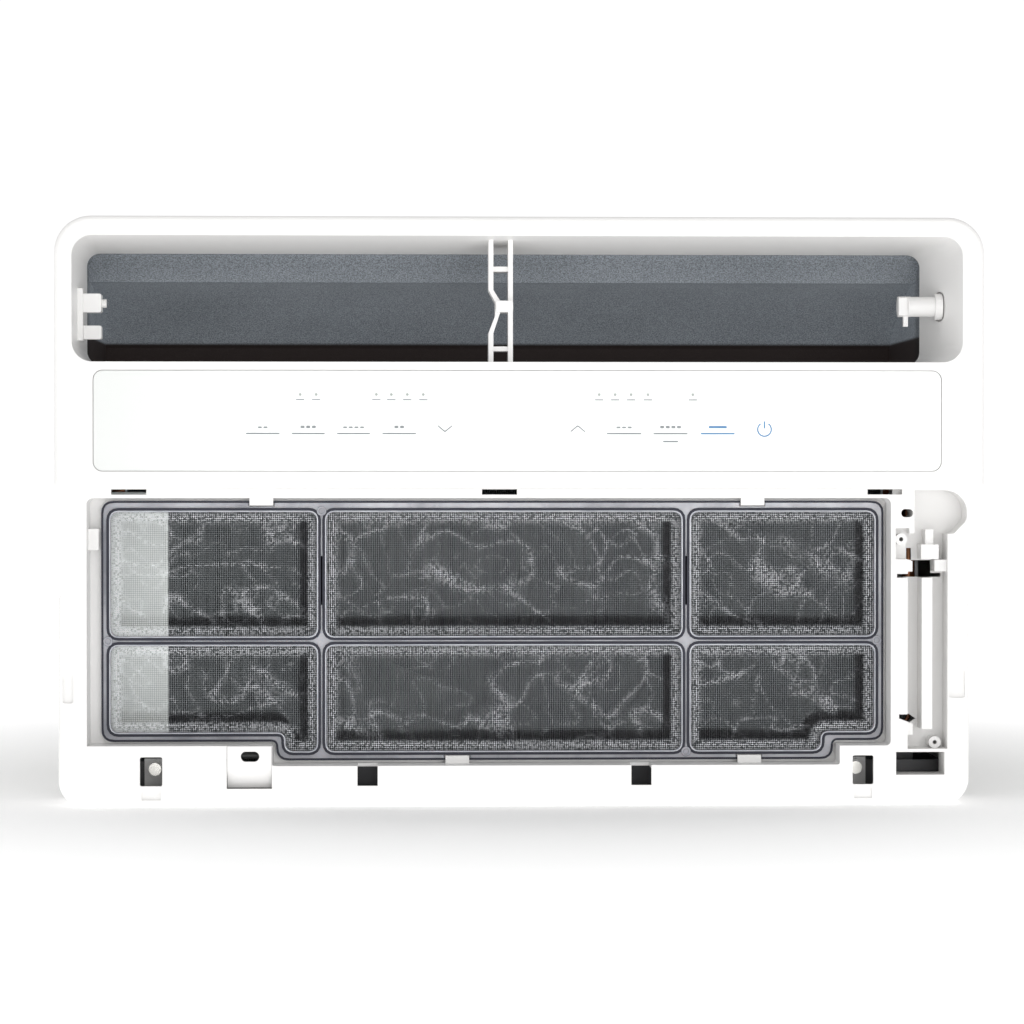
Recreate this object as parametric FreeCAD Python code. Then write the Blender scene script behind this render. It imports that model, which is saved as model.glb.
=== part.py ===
# Through-window air conditioner, shown with its intake grille and louvre blade taken off.
# Frame: +Z up, front towards -Y, origin at the bottom centre of the whole unit. Millimetres.
import FreeCAD, Part
import math
import os

Vector = FreeCAD.Vector

# ---- overall sizes
width = 560.0
height = 357.0
depth = 480.0

# ---- moulded front frame
frame_wall = 2.5
frame_depth = 80.0
fascia_height = 164.0
lower_setback = 24.0
top_corner_radius = 22.0
bottom_corner_radius = 16.0
front_edge_radius = 3.0
right_inset = 5.0
notch_depth = 2.6
notch_low = 126.0
notch_high = 171.0
notch_slant = 9.0

# ---- air outlet in the fascia
mouth_left = 10.7
mouth_right = 13.2
mouth_top = 11.8
mouth_height = 75.7
mouth_radius = 12.0
tunnel_depth = 55.0
tunnel_left = 4.2
tunnel_right = 17.9
tunnel_top = 7.6
tunnel_radius = 8.0

# ---- touch panel
panel_left = 23.6
panel_right = 26.4
panel_foot = 11.0
panel_height = 60.2
panel_thickness = 2.0
panel_radius = 5.5
panel_gap = 0.35
panel_setback = 0.4

# ---- filter and the recess that holds it
filter_left = 24.2
filter_right = 54.8
filter_bottom = 26.3
filter_top_gap = 7.2
filter_setback = 20.0
filter_rim_thickness = 4.0
filter_rim = 5.8
filter_mullion = 6.0
left_column = 126.0
right_column = 113.3
filter_row_share = 0.46
filter_corner_radius = 7.0
window_radius = 5.0
filter_step_height = 11.6
filter_left_step = 106.8
filter_right_step = 31.2
mesh_thickness = 0.6
mesh_dish = 6.0
mesh_slope = 6.0
recess_side_gap = 7.0
recess_gap = 1.7
recess_step_gap = 1.0
ledge_width = 3.5
ledge_thickness = 2.0
tab_width = 14.5
tab_reach = 4.6
tab_thickness = 2.0
tab_clearance = 0.6

# ---- cabinet, base and the sheet metal inside
sheet = 1.0
cabinet_side_gap = 11.0
cabinet_drop = 15.0
cabinet_start = 66.0
base_flange = 16.0
front_flange = 18.0
foot_height = 6.0
grille_thickness = 2.5

# ---- air path
evaporator_start = 70.0
evaporator_thickness = 36.0
coil_tube_radius = 3.5
coil_row_pitch = 21.0
end_plate = 1.2
blower_start = 116.0
blower_width = 66.0
blower_radius = 92.0
blower_blades = 38
scroll_gap = 4.0
scroll_growth = 10.0
scroll_wall = 2.0
bulkhead_gap = 11.0
bulkhead_start = blower_start + blower_width + bulkhead_gap
axis_x = -28.0
shaft_radius = 5.0
shaft_fit = 0.05

# ---- fan side
fan_edge_gap = 26.0
fan_blades = 5
fan_depth = 30.0
fan_hub_radius = 34.0
shroud_gap = 4.0
condenser_thickness = 40.0
motor_radius = 48.0
motor_length = 72.0
compressor_radius = 54.0
compressor_height = 205.0
compressor_x = 176.0
compressor_lift = 12.0
pipe_radius = 3.2
pipe_bend = 12.0
control_floor = 137.2

# ---- fasteners
screw_radius = 2.0
screw_head_radius = 4.0
screw_head = 2.6
bracket_hole_radius = 3.2
rail_hole_pitch = 360.0
rail_hole_radius = 2.0
cabinet_bend = 8.0
inlet_radius = 7.0
lead_radius = 4.2
drain_radius = 9.0

# ---- vane drive
drive_setback = 30.0
drive_z = 52.5
drive_radius = 6.1
drive_flange_radius = 8.0
drive_shaft_radius = 2.5

front = -depth / 2
left = -width / 2
right = width / 2
seam = height - fascia_height


def deep(distance):
    """Y of a plane that lies this far behind the front face."""
    return front + distance


def block(x0, x1, d0, d1, z0, z1):
    """Box between two X, two depths behind the front face and two heights."""
    return Part.makeBox(x1 - x0, d1 - d0, z1 - z0, Vector(x0, deep(d0), z0))


def rod_x(x0, x1, d, z, radius):
    return Part.makeCylinder(radius, x1 - x0, Vector(x0, deep(d), z), Vector(1, 0, 0))


def rod_y(x, d0, d1, z, radius):
    return Part.makeCylinder(radius, d1 - d0, Vector(x, deep(d0), z), Vector(0, 1, 0))


def rod_z(x, d, z0, z1, radius):
    return Part.makeCylinder(radius, z1 - z0, Vector(x, deep(d), z0), Vector(0, 0, 1))


def ring_y(x, d0, d1, z, outer, inner):
    return rod_y(x, d0, d1, z, outer).cut(rod_y(x, d0, d1, z, inner))


def outline(points, radii, d):
    """Closed wire in the XZ plane at a depth, with each corner rounded by its radius."""
    y = deep(d)
    count = len(points)
    starts = []
    edges = []
    for index in range(count):
        here = Vector(points[index][0], y, points[index][1])
        before = Vector(points[index - 1][0], y, points[index - 1][1])
        after = Vector(points[(index + 1) % count][0], y, points[(index + 1) % count][1])
        radius = radii[index]
        if radius <= 0:
            starts.append((here, here))
            continue
        to_before = (before - here).normalize()
        to_after = (after - here).normalize()
        half = to_before.getAngle(to_after) / 2
        reach = radius / math.tan(half)
        first = here + to_before * reach
        last = here + to_after * reach
        centre = here + (to_before + to_after).normalize() * (radius / math.sin(half))
        middle = centre + (here - centre).normalize() * radius
        edges.append((index, Part.Arc(first, middle, last).toShape()))
        starts.append((first, last))
    arcs = dict(edges)
    loop = []
    for index in range(count):
        if index in arcs:
            loop.append(arcs[index])
        leave = starts[index][1]
        arrive = starts[(index + 1) % count][0]
        if (leave - arrive).Length > 1e-6:
            loop.append(Part.LineSegment(leave, arrive).toShape())
    return Part.Wire(loop)


def plate(points, radii, d0, d1):
    """Solid of an outline drawn in XZ and carried from one depth to another."""
    return Part.Face(outline(points, radii, d0)).extrude(Vector(0, d1 - d0, 0))


def corners(x0, x1, z0, z1):
    return [(x0, z0), (x1, z0), (x1, z1), (x0, z1)]


def rounded(x0, x1, d0, d1, z0, z1, radius):
    """Block with its four edges along Y rounded."""
    return plate(corners(x0, x1, z0, z1), [radius] * 4, d0, d1)


def funnel(near, near_radii, d0, far, far_radii, d1):
    """Solid between two outlines at two depths, with flat sides."""
    return Part.makeLoft([outline(near, near_radii, d0), outline(far, far_radii, d1)], True, True)


def side_profile(points, x0, x1):
    """Solid of a profile given as (depth, height) and carried along X."""
    wire = Part.makePolygon([Vector(x0, deep(d), z) for d, z in points + points[:1]])
    return Part.Face(wire).extrude(Vector(x1 - x0, 0, 0))


def fused(shapes):
    shapes = list(shapes)
    if len(shapes) == 1:
        return shapes[0]
    return shapes[0].multiFuse(shapes[1:]).removeSplitter()


def without(shape, tools):
    tools = list(tools)
    return shape.cut(Part.makeCompound(tools)) if len(tools) > 1 else shape.cut(tools[0])


def save(name, shape):
    """Write one node, whose shape may be several solids."""
    solids = shape.Solids
    print(name, len(solids), round(sum(solid.Volume for solid in solids) / 1000, 2), shape.isValid())
    body = solids[0] if len(solids) == 1 else Part.makeCompound(solids)
    body.exportStep(os.path.join("parts", name + ".step"))


def bent_tube(points, radius, bend):
    """Tube solid along straight runs joined by tangent arcs, through (x, depth, z) points."""
    path = [Vector(x, deep(d), z) for x, d, z in points]
    edges = []
    start = path[0]
    for index in range(1, len(path) - 1):
        corner = path[index]
        back_way = (path[index - 1] - corner).normalize()
        on_way = (path[index + 1] - corner).normalize()
        half = back_way.getAngle(on_way) / 2
        reach = bend / math.tan(half)
        first = corner + back_way * reach
        last = corner + on_way * reach
        centre = corner + (back_way + on_way).normalize() * (bend / math.sin(half))
        middle = centre + (corner - centre).normalize() * bend
        if (first - start).Length > 1e-6:
            edges.append(Part.LineSegment(start, first).toShape())
        edges.append(Part.Arc(first, middle, last).toShape())
        start = last
    edges.append(Part.LineSegment(start, path[-1]).toShape())
    heading = (path[1] - path[0]).normalize()
    section = Part.Wire(Part.makeCircle(radius, path[0], heading))
    return Part.Wire(edges).makePipeShell([section], True, False)


# ---- places worked out from the sizes above
lower_right = right - right_inset
mouth = (left + mouth_left, right - mouth_right, height - mouth_top - mouth_height, height - mouth_top)
tunnel = (mouth[0] + tunnel_left, mouth[1] - tunnel_right, mouth[2], mouth[3] - tunnel_top)
panel = (left + panel_left, right - panel_right, seam + panel_foot, seam + panel_foot + panel_height)
filter_x = (left + filter_left, right - filter_right)
filter_z = (filter_bottom, seam - filter_top_gap)
rim_front = lower_setback + filter_setback
rim_back = rim_front + filter_rim_thickness
ledge_front = rim_back + 0.3
ledge_back = ledge_front + ledge_thickness
left_step = filter_x[0] + filter_left_step
right_step = filter_x[1] - filter_right_step
step_z = filter_z[0] + filter_step_height
row_z = filter_z[0] + filter_row_share * (filter_z[1] - filter_z[0])
channel = (filter_x[1] + 12.0, filter_x[1] + 36.5, 34.0, seam - 27.0)
channel_floor = rim_front
tunnel_wall = 2.0
tab_top_x = (filter_x[0] + 98.0, filter_x[1] - 81.3)
tab_foot_x = (filter_x[0] + 218.0, filter_x[1] - 83.2)
sensor_x = (left_step - 29.0, left_step - 2.0)
sensor_z = (11.0, step_z - recess_step_gap - 0.3)
catch_x = ((left + 49.2, left + 62.8), (right - 76.5, right - 63.7))
catch_z = (12.5, 30.2)
notch_x = (left + 187.3, right - 205.8)
notch_width = 12.3
hook_x = (left + 42.7, (left + right) / 2 - 12.4, right - 56.9)
hook_width = 21.3
hook_height = 3.4
cabinet_x = (left + cabinet_side_gap, right - cabinet_side_gap)
cabinet_top = height - cabinet_drop
cabinet_back = depth - grille_thickness
flange_start = cabinet_start
pan_z = foot_height
pan_top = pan_z + sheet
axis_z = (pan_top + cabinet_top - sheet) / 2
fan_radius = (cabinet_top - sheet - pan_top) / 2 - fan_edge_gap
blower_end = blower_start + blower_width
condenser_end = cabinet_back - 12.0
condenser_start = condenser_end - condenser_thickness
shroud_plate = condenser_start - 34.0
fan_start = condenser_start - fan_depth - 18.0
motor_start = bulkhead_start + 14.0
evaporator_end = evaporator_start + evaporator_thickness
evaporator_x = (filter_x[0] + 14.0, filter_x[1] + 2.0)
evaporator_z = (24.0, mouth[2] - 14.0)
drive_height = height - drive_z
drive_x = (mouth[1] - 30.5, mouth[1] - 8.4)
motor_face = mouth[1] - 2.8


def frame_outline(inset, d_fascia, d_lower, d_end):
    """The front frame's outer form, or a smaller copy of it set in by a wall."""
    fascia = plate(corners(left + inset, right - inset, seam + inset, height - inset),
                   [front_edge_radius, front_edge_radius, top_corner_radius - inset,
                    top_corner_radius - inset], d_fascia, d_end)
    low = notch_low
    high = seam - (193.0 - notch_high)
    points = [
        (left + inset, inset),
        (lower_right - inset, inset),
        (lower_right - inset, low - 4),
        (lower_right - notch_depth - inset, low),
        (lower_right - notch_depth - inset, high - notch_slant),
        (right - inset, high),
        (right - inset, seam + 12),
        (left + inset, seam + 12),
        (left + inset, high),
        (left + notch_depth + inset, high - notch_slant),
        (left + notch_depth + inset, low + 6),
        (left + inset, low),
    ]
    radii = [bottom_corner_radius - inset] * 2 + [0] * 10
    lower = plate(points, radii, d_lower, d_end)
    return fascia, lower


def front_edges(shape, d):
    """Edges of a shape that lie wholly in the plane at one depth."""
    y = deep(d)
    found = []
    for edge in shape.Edges:
        bounds = edge.BoundBox
        if abs(bounds.YMin - y) < 1e-4 and abs(bounds.YMax - y) < 1e-4:
            found.append(edge)
    return found


def recess_points(grow):
    """Stepped outline of the filter recess, grown outwards by a wall."""
    x0 = filter_x[0] - recess_side_gap - grow
    x1 = filter_x[1] + recess_gap + grow
    z0 = filter_z[0] - recess_gap - grow
    z1 = filter_z[1] + recess_gap + grow
    return [
        (x0, step_z - recess_step_gap - grow),
        (left_step - recess_gap - grow, step_z - recess_step_gap - grow),
        (left_step - recess_gap - grow, z0),
        (right_step + recess_gap + grow, z0),
        (right_step + recess_gap + grow, step_z - recess_gap - grow),
        (x1, step_z - recess_gap - grow),
        (x1, z1),
        (x0, z1),
    ]


def filter_points(inset):
    """Stepped outline of the filter, set in by a distance."""
    x0 = filter_x[0] + inset
    x1 = filter_x[1] - inset
    z0 = filter_z[0] + inset
    z1 = filter_z[1] - inset
    return [
        (x0, step_z + inset),
        (left_step + inset, step_z + inset),
        (left_step + inset, z0),
        (right_step - inset, z0),
        (right_step - inset, step_z + inset),
        (x1, step_z + inset),
        (x1, z1),
        (x0, z1),
    ]


def frame_mouth():
    """Tapered tunnel of the air outlet: its outer skin, and the space inside it."""
    wall = tunnel_wall
    near = corners(mouth[0], mouth[1], mouth[2], mouth[3])
    far = corners(tunnel[0], tunnel[1], tunnel[2], tunnel[3])
    near_out = corners(mouth[0] - wall, mouth[1] + wall, mouth[2] - wall, mouth[3] + wall)
    far_out = corners(tunnel[0] - wall, tunnel[1] + wall, tunnel[2] - wall, tunnel[3] + wall)
    skin = funnel(near_out, [mouth_radius + wall] * 4, 0.5, far_out, [tunnel_radius + wall] * 4,
                  tunnel_depth)
    space = funnel(near, [mouth_radius] * 4, 0, far, [tunnel_radius] * 4, tunnel_depth)
    return skin, space


def frame_channel():
    """Wiring channel at the right of the filter: its shell, its pocket, what stands in it, holes."""
    x0, x1, z0, z1 = channel
    floor = channel_floor
    wall = 2.0
    top = seam - 0.8
    ear_right = right - 6.5
    shell = [
        rounded(x0 - 8.5, x1 + wall, lower_setback + 1, floor + wall, 12.0, top + 0.8, 1.0),
        rounded(x0 - 8.5, ear_right + wall - 1.2, lower_setback + 1, floor + wall,
                seam - 30.0, top + 0.8, 8.0),
    ]
    pocket = [
        block(x0, x1, lower_setback - 1, floor, z0, z1),
        plate([(x0 + 4.0, seam - 27.4), (ear_right - 8.0, seam - 27.4), (ear_right, seam - 19.0),
               (ear_right, top), (x0 + 4.0, top)], [0, 4.0, 6.0, 13.5, 0], lower_setback - 1, floor),
        block(x0 - 7.4, x0 + 1.0, lower_setback - 1, lower_setback + 9, seam - 43.0, seam - 24.0),
    ]
    stands = [
        block(x0 + 9.0, x0 + 15.4, lower_setback + 2, floor + 1, z0 + 12, seam - 51.8),
        block(x0 - 4.9, x0 + 3.0, lower_setback + 1, floor + 1, seam - 50.5, seam - 43.4),
        block(x0 + 8.8, x0 + 19.6, lower_setback + 4, floor + 1, seam - 43.0, seam - 34.0),
        block(x0 + 11.7, x0 + 16.6, lower_setback + 6, floor + 1, seam - 34.0, seam - 24.8),
        block(x0 + 17.2, x1 + 0.5, lower_setback + 5, floor + 1, seam - 50.5, seam - 43.4),
        block(x0 - 4.4, x0 + 3.6, lower_setback + 3, floor + 1, 42.5, 51.5),
        rod_y(x0 - 3.6, lower_setback + 3, floor + 1, seam - 30.8, 3.6),
        rod_y(x0 + 18.0, lower_setback + 8, floor + 1, 37.5, 3.7),
    ]
    through = [
        block(x0 - 6.6, x1 - 1.2, lower_setback - 1, floor + 4, seam - 54.3, seam - 51.9),
        block(x0 + 3.2, x0 + 17.1, lower_setback - 1, floor + 4, seam - 54.3, seam - 44.0),
        block(x0 + 2.0, x0 + 5.0, lower_setback - 1, floor + 4, seam - 44.0, seam - 36.5),
        plate([(x0 - 5.2, 52.6), (x0 + 4.2, 49.0), (x0 + 7.9, 51.3), (x0 + 2.0, 55.2),
               (x0 - 5.2, 55.2)], [0] * 5, lower_setback - 1, floor + 4),
        block(x0 - 7.0, x1 - 1.8, lower_setback - 1, floor + 4, 18.2, 32.2),
        rounded(x0 - 4.0, x0 + 3.2, lower_setback - 1, floor + 4, seam - 17.3, seam - 12.3, 2.3),
        rod_y(x0 - 3.6, lower_setback - 1, floor + 4, seam - 30.8, 1.3),
        rod_y(x0 + 18.0, lower_setback - 1, floor + 4, 37.5, 1.3),
    ]
    return shell, pocket, stands, through


def frame_holes():
    """Hook slots, catch windows, notches and pockets that take the grille's clips."""
    d0 = lower_setback - 1
    holes = []
    for x in hook_x:
        z = seam - hook_height
        holes.append(block(x - hook_width / 2, x + hook_width / 2, d0, d0 + 8, z, z + hook_height - 0.2))
    for x0, x1 in catch_x:
        holes.append(rounded(x0, x1, d0, d0 + 30, catch_z[0], catch_z[1], 1.2))
        holes.append(block(x0 + 1.0, x1 - 1.0, d0, d0 + 2.4, catch_z[0] - 8.5, catch_z[0] - 2.2))
    for x in notch_x:
        holes.append(block(x - notch_width / 2, x + notch_width / 2, d0, rim_front, 12.4, filter_z[0]))
    holes.append(rounded(left + 2.6, left + 9.0, d0, d0 + 2.6, 63.0, 79.7, 1.5))
    holes.append(rounded(lower_right - 12.5, lower_right - 2.6, d0, d0 + 2.6, 65.3, 82.2, 1.5))
    return holes


def boss_places():
    """Screw bosses that hold the front frame to the base pan's front flange."""
    z = pan_z + front_flange - screw_head_radius
    return [((x0 + x1) / 2, z) for x0, x1 in catch_x]


def hook_places():
    """X of the two moulded hooks that reach over the cabinet's top."""
    return (cabinet_x[0] + 70.0, cabinet_x[1] - 70.0)


def whole_frame():
    """The moulded front in one piece, before it is divided into its fascia and three lower members."""
    fascia, lower = frame_outline(0, 0, lower_setback, frame_depth)
    fascia = fascia.makeFillet(front_edge_radius, front_edges(fascia, 0))
    lower = lower.makeFillet(front_edge_radius * 0.6, [
        edge for edge in front_edges(lower, lower_setback) if edge.BoundBox.ZMax < notch_low])
    hollow_fascia, hollow_lower = frame_outline(frame_wall, frame_wall, lower_setback + frame_wall,
                                                frame_depth + 1)
    shell = fascia.fuse(lower).cut(hollow_fascia.fuse(hollow_lower))
    skin, space = frame_mouth()
    channel_shell, pocket, stands, through = frame_channel()
    panel_seat = panel_setback + panel_thickness + 0.1
    seat = block(panel[0] - 3, panel[1] + 3, 1.5, panel_seat + 1.8, panel[2] - 3, panel[3] + 3)
    panel_pocket = rounded(panel[0] - panel_gap, panel[1] + panel_gap, -1, panel_seat,
                           panel[2] - panel_gap, panel[3] + panel_gap, panel_radius + panel_gap)
    recess_shell = plate(recess_points(2.0), [0] * 8, lower_setback + 1, ledge_back)
    recess = plate(recess_points(0), [0, 0, 1.5, 1.5, 0, 3.0, 4.0, 4.0], lower_setback - 1, ledge_front)
    gate = plate(filter_points(ledge_width), [2.0] * 8, ledge_front - 1, ledge_back + 1)
    adds = [skin, seat, recess_shell, drive_well(2.0)] + channel_shell
    for x, z in boss_places():
        boss = fused([block(x - 7.0, x + 7.0, flange_start - 2.1, flange_start - 0.1, 1, z + 6),
                      rod_y(x, flange_start - 7.1, flange_start - 0.1, z, 5.0)])
        adds.append(boss.cut(rod_y(x, flange_start - 8, flange_start, z, screw_radius + 0.3)))
    for x in hook_places():
        adds.append(block(x - 12, x + 12, flange_start - 4, frame_depth - 1, cabinet_top + 0.2,
                          cabinet_top + 2.4))
        adds.append(block(x - 1.2, x + 1.2, flange_start - 4, frame_depth - 1, cabinet_top + 2,
                          height - 1))
    rear_lip = fused(frame_outline(0.5, frame_depth - 2, frame_depth - 2, frame_depth))
    adds.append(rear_lip.cut(block(cabinet_x[0] - 0.6, cabinet_x[1] + 0.6, frame_depth - 3, frame_depth + 1,
                                   0.5 + frame_wall, cabinet_top + 0.6)))
    shell = fused([shell] + adds)
    shaft_hole = rod_x(drive_x[1], motor_face, drive_setback, drive_height, drive_shaft_radius + 0.7)
    shell = without(shell, [space, panel_pocket, recess, gate, drive_well(0), shaft_hole] + pocket)
    tabs = []
    for x in tab_top_x:
        tabs.append(block(x - tab_width / 2, x + tab_width / 2, rim_front - tab_clearance - tab_thickness,
                          rim_front - tab_clearance, filter_z[1] + recess_gap - tab_reach,
                          filter_z[1] + recess_gap + 1))
    for x in tab_foot_x:
        tabs.append(block(x - tab_width / 2, x + tab_width / 2, rim_front - tab_clearance - tab_thickness,
                          rim_front - tab_clearance, filter_z[0] - recess_gap - 1,
                          filter_z[0] - recess_gap + tab_reach))
    tabs.append(block(filter_x[0] - recess_side_gap - 1, filter_x[0] - 1.0, rim_front - 6, rim_front - 1,
                      row_z + 56.0, row_z + 69.0))
    shell = fused([shell] + stands + tabs)
    sensor_seat = block(sensor_x[0] - 0.2, sensor_x[1] + 0.2, lower_setback - 1, ledge_front - 3,
                        sensor_z[0] - 0.2, step_z + 1)
    return without(shell, through + frame_holes() + [sensor_seat])


def frame_member(x0, x1, z0, z1):
    """The part of the moulded front between these limits."""
    return whole_frame().common(block(x0, x1, -1, frame_depth + 1, z0, z1))


def side_limits():
    """Lowest and highest point of the frame's two side members, clear of the filter's ledges."""
    return (step_z + ledge_width + 1.0, filter_z[1] - ledge_width - 1.0)


def front_frame():
    return frame_member(-width, width, side_limits()[1], height + 1)


def frame_left_side():
    return frame_member(-width, 0, side_limits()[0], side_limits()[1])


def frame_right_side():
    return frame_member(0, width, side_limits()[0], side_limits()[1])


def frame_bottom():
    return frame_member(-width, width, -1, side_limits()[0])


def touch_panel():
    return rounded(panel[0], panel[1], panel_setback, panel_setback + panel_thickness,
                   panel[2], panel[3], panel_radius)


def outlet_support():
    """Ladder-like upright in the middle of the outlet that carries the middle of the louvre."""
    x0 = (mouth[0] + mouth[1]) / 2 - 18.1
    x1 = x0 + 14.7
    z0 = mouth[2]
    z1 = mouth[3]
    d0 = 12.0
    d1 = 30.0
    hub_z = drive_height - 1.2
    rail = 2.9
    pieces = [
        block(x0, x0 + rail, d0, d1, z0, hub_z - 16),
        block(x0, x0 + rail, d0, d1, hub_z + 10, z1),
        plate([(x0, hub_z - 16), (x0 + rail, hub_z - 16), (x0 + 7.0, hub_z - 3.5),
               (x0 + 7.0, hub_z + 3.5), (x0 + rail, hub_z + 10), (x0, hub_z + 10),
               (x0 + 4.0, hub_z + 2.5), (x0 + 4.0, hub_z - 5.5)], [0] * 8, d0, d1),
        block(x1 - rail, x1, d0, d1, z0, z1),
        block(x0 + rail - 1, x1 - rail + 1, d0 + 2, d1, z1 - 20.6, z1 - 17.6),
        block(x0 + rail - 1, x1 - rail + 1, d0 + 2, d1, z0 + 7.0, z0 + 9.8),
        rounded(x0 + 4.4, x1, d0 - 4, d1, hub_z - 3.4, hub_z + 3.4, 1.5),
    ]
    bore = rod_x(x0 - 1, x1 + 1, d0 - 0.6, hub_z, 1.6)
    return fused(pieces).common(frame_mouth()[1]).cut(bore)


def pivot_pegs():
    """Two white pegs on a base plate that carry the louvre's left end."""
    x0 = tunnel[0] - 1.3
    z = drive_height
    d = drive_setback
    wall_x = mouth[0] + tunnel_left * d / tunnel_depth
    pieces = [
        block(wall_x - 2.0, wall_x + 2.4, d - 9, d + 9, z - 21.6, z + 10.0),
        rounded(wall_x + 1, x0 + 12.6, d - 6, d + 6, z - 4.4, z + 6.9, 1.2),
        rounded(wall_x + 1, x0 + 12.6, d - 4, d + 4, z - 20.6, z - 12.4, 1.2),
        rod_x(x0 + 11, x0 + 15.4, d, z + 1.2, 2.6),
    ]
    return fused(pieces).common(frame_mouth()[1])


def vane_drive_hub():
    """Motor-driven hub that turns the louvre from the right end."""
    x0 = drive_x[0]
    x1 = drive_x[1]
    d = drive_setback
    z = drive_height
    flat = block(x0 - 6, x0 + 1.2, d - 7, d - 3.5, z - 8, z + 8)
    pieces = [
        rod_x(x0 + 1.9, x1 - 3.4, d, z, drive_radius),
        rod_x(x1 - 4.4, x1, d, z, drive_flange_radius),
        rod_x(x1 - 1.0, motor_face + 8.0, d, z, drive_shaft_radius),
        rod_x(x0 - 4.5, x0 + 3.0, d, z, drive_radius + 0.2).cut(flat),
        block(x0 - 1.4, x0 + 1.4, d - 2, d + 2, z - 12.2, z - 5.0),
        rod_y(x1 - 2.0, d - 7.4, d - 4, z + 2.4, 1.4),
    ]
    return fused(pieces)


def drive_well(grow):
    """Round well in the outlet's right wall that the hub's flange turns in."""
    return rod_x(mouth[1] - 18.0 + grow, drive_x[1] + 0.8 + grow, drive_setback, drive_height,
                 drive_flange_radius + 1.2 + grow)


def vane_motor():
    """Small geared stepper motor behind the outlet's right wall."""
    d = drive_setback
    z = drive_height
    x0 = motor_face
    x1 = right - frame_wall - 1.0
    can = rod_x(x0, x1, d, z, 13.5)
    boss = rod_x(x0 - 1.0, x0 + 1, d, z, 4.5)
    lug = block(x0, x0 + 1.2, d - 3.5, d + 3.5, z - 21.0, z + 21.0)
    lead = block(x0 + 2, x1 - 2, d - 6, d + 6, z - 17.0, z - 12.5)
    socket = rod_x(x0 - 2, x0 + 9.0, d, z, drive_shaft_radius + shaft_fit)
    lug_holes = [rod_x(x0 - 1, x0 + 3, d, z + side * 18.0, 1.6) for side in (-1, 1)]
    return without(fused([can, boss, lug, lead]), [socket] + lug_holes)


def window_list():
    """Openings of the filter, each as its corner points and corner radii."""
    x0, x1 = filter_x
    z0, z1 = filter_z
    rim = filter_rim
    half = filter_mullion / 2
    left_mullion = x0 + left_column + rim + half
    right_mullion = x1 - right_column - rim - half
    columns = [(x0 + rim, left_mullion - half), (left_mullion + half, right_mullion - half),
               (right_mullion + half, x1 - rim)]
    windows = []
    for xa, xb in columns:
        windows.append(corners(xa, xb, row_z + half, z1 - rim - 1.2))
    low = z0 + rim
    raised = step_z + rim
    top = row_z - half
    windows.append([(columns[0][0], raised), (left_step + rim, raised), (left_step + rim, low),
                    (columns[0][1], low), (columns[0][1], top), (columns[0][0], top)])
    windows.append(corners(columns[1][0], columns[1][1], low, top))
    windows.append([(columns[2][0], low), (right_step - rim - 2, low), (right_step - rim - 2, raised),
                    (columns[2][1], raised), (columns[2][1], top), (columns[2][0], top)])
    return windows, left_mullion, right_mullion


def window_radii(points, grow):
    radius = max(window_radius - grow, 1.0)
    return [radius] * len(points)


def grown(points, inset):
    """Outline of straight horizontal and vertical sides, set in by a distance."""
    count = len(points)
    moved = []
    for index in range(count):
        x, z = points[index]
        xa, za = points[index - 1]
        xb, zb = points[(index + 1) % count]
        # the outline runs anticlockwise seen from the front, so inside is to its left
        in_x = -(zb - za)
        in_z = xb - xa
        moved.append((x + inset * math.copysign(1, in_x), z + inset * math.copysign(1, in_z)))
    return moved


def filter_frame():
    """Moulded rim and mullions of the air filter, with pull bosses and slots."""
    windows, left_mullion, right_mullion = window_list()
    radius = filter_corner_radius
    rim = plate(filter_points(0), [radius, 2.5, radius, radius, 2.5, radius, radius, radius],
                rim_front, rim_back)
    cuts = [plate(points, window_radii(points, 0), rim_front - 1, rim_back + 1) for points in windows]
    middle = (row_z + filter_z[1]) / 2
    for x in (left_mullion, right_mullion):
        cuts.append(block(x - 1.5, x + 1.5, rim_front - 1, rim_back + 1, middle - 21.0, middle + 9.0))
    for x in tab_top_x:
        cuts.append(block(x - tab_width / 2 - 0.7, x + tab_width / 2 + 0.7, rim_front - 1, rim_back + 1,
                          filter_z[1] + recess_gap - tab_reach - 0.6, filter_z[1] + 1))
    for x in tab_foot_x:
        cuts.append(block(x - tab_width / 2 - 0.7, x + tab_width / 2 + 0.7, rim_front - 1, rim_back + 1,
                          filter_z[0] - 1, filter_z[0] - recess_gap + tab_reach + 0.6))
    bosses = []
    for x, z in ((left_mullion, filter_z[1] - 6.4), (filter_x[0] + 4.2, row_z),
                 (right_mullion, filter_z[0] + 5.0), (filter_x[1] - 4.2, row_z)):
        bosses.append(rod_y(x, rim_front - 0.8, rim_back - 1, z, 2.9).cut(
            rod_y(x, rim_front - 1, rim_front - 0.1, z, 1.7)))
    lip = []
    for points in windows:
        outer = plate(grown(points, -1.3), window_radii(points, -1.3), rim_front - 0.5, rim_front + 0.5)
        inner = plate(points, window_radii(points, 0), rim_front - 1, rim_front + 1)
        lip.append(outer.cut(inner))
    return fused([rim.cut(Part.makeCompound(cuts))] + bosses + lip)


def filter_mesh():
    """Dished mesh screens, one in each opening, welded just inside the rim."""
    windows = window_list()[0]
    screens = []
    fit = 0.02
    for points in windows:
        edge = grown(points, fit)
        floor = grown(points, mesh_slope)
        d_edge = rim_back - 1.0
        d_floor = rim_back + mesh_dish
        radii = window_radii(points, 0)
        shallow = [max(r - 3.0, 1.0) for r in radii]
        outer = funnel(edge, radii, d_edge, floor, shallow, d_floor)
        inner_edge = grown(points, fit + mesh_thickness)
        inner_floor = grown(points, mesh_slope + mesh_thickness)
        inner = funnel(inner_edge, [max(r - 0.6, 0.6) for r in radii], d_edge,
                       inner_floor, [max(r - 0.4, 0.5) for r in shallow], d_floor - mesh_thickness)
        screens.append(outer.cut(inner))
    return Part.makeCompound(screens)


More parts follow.
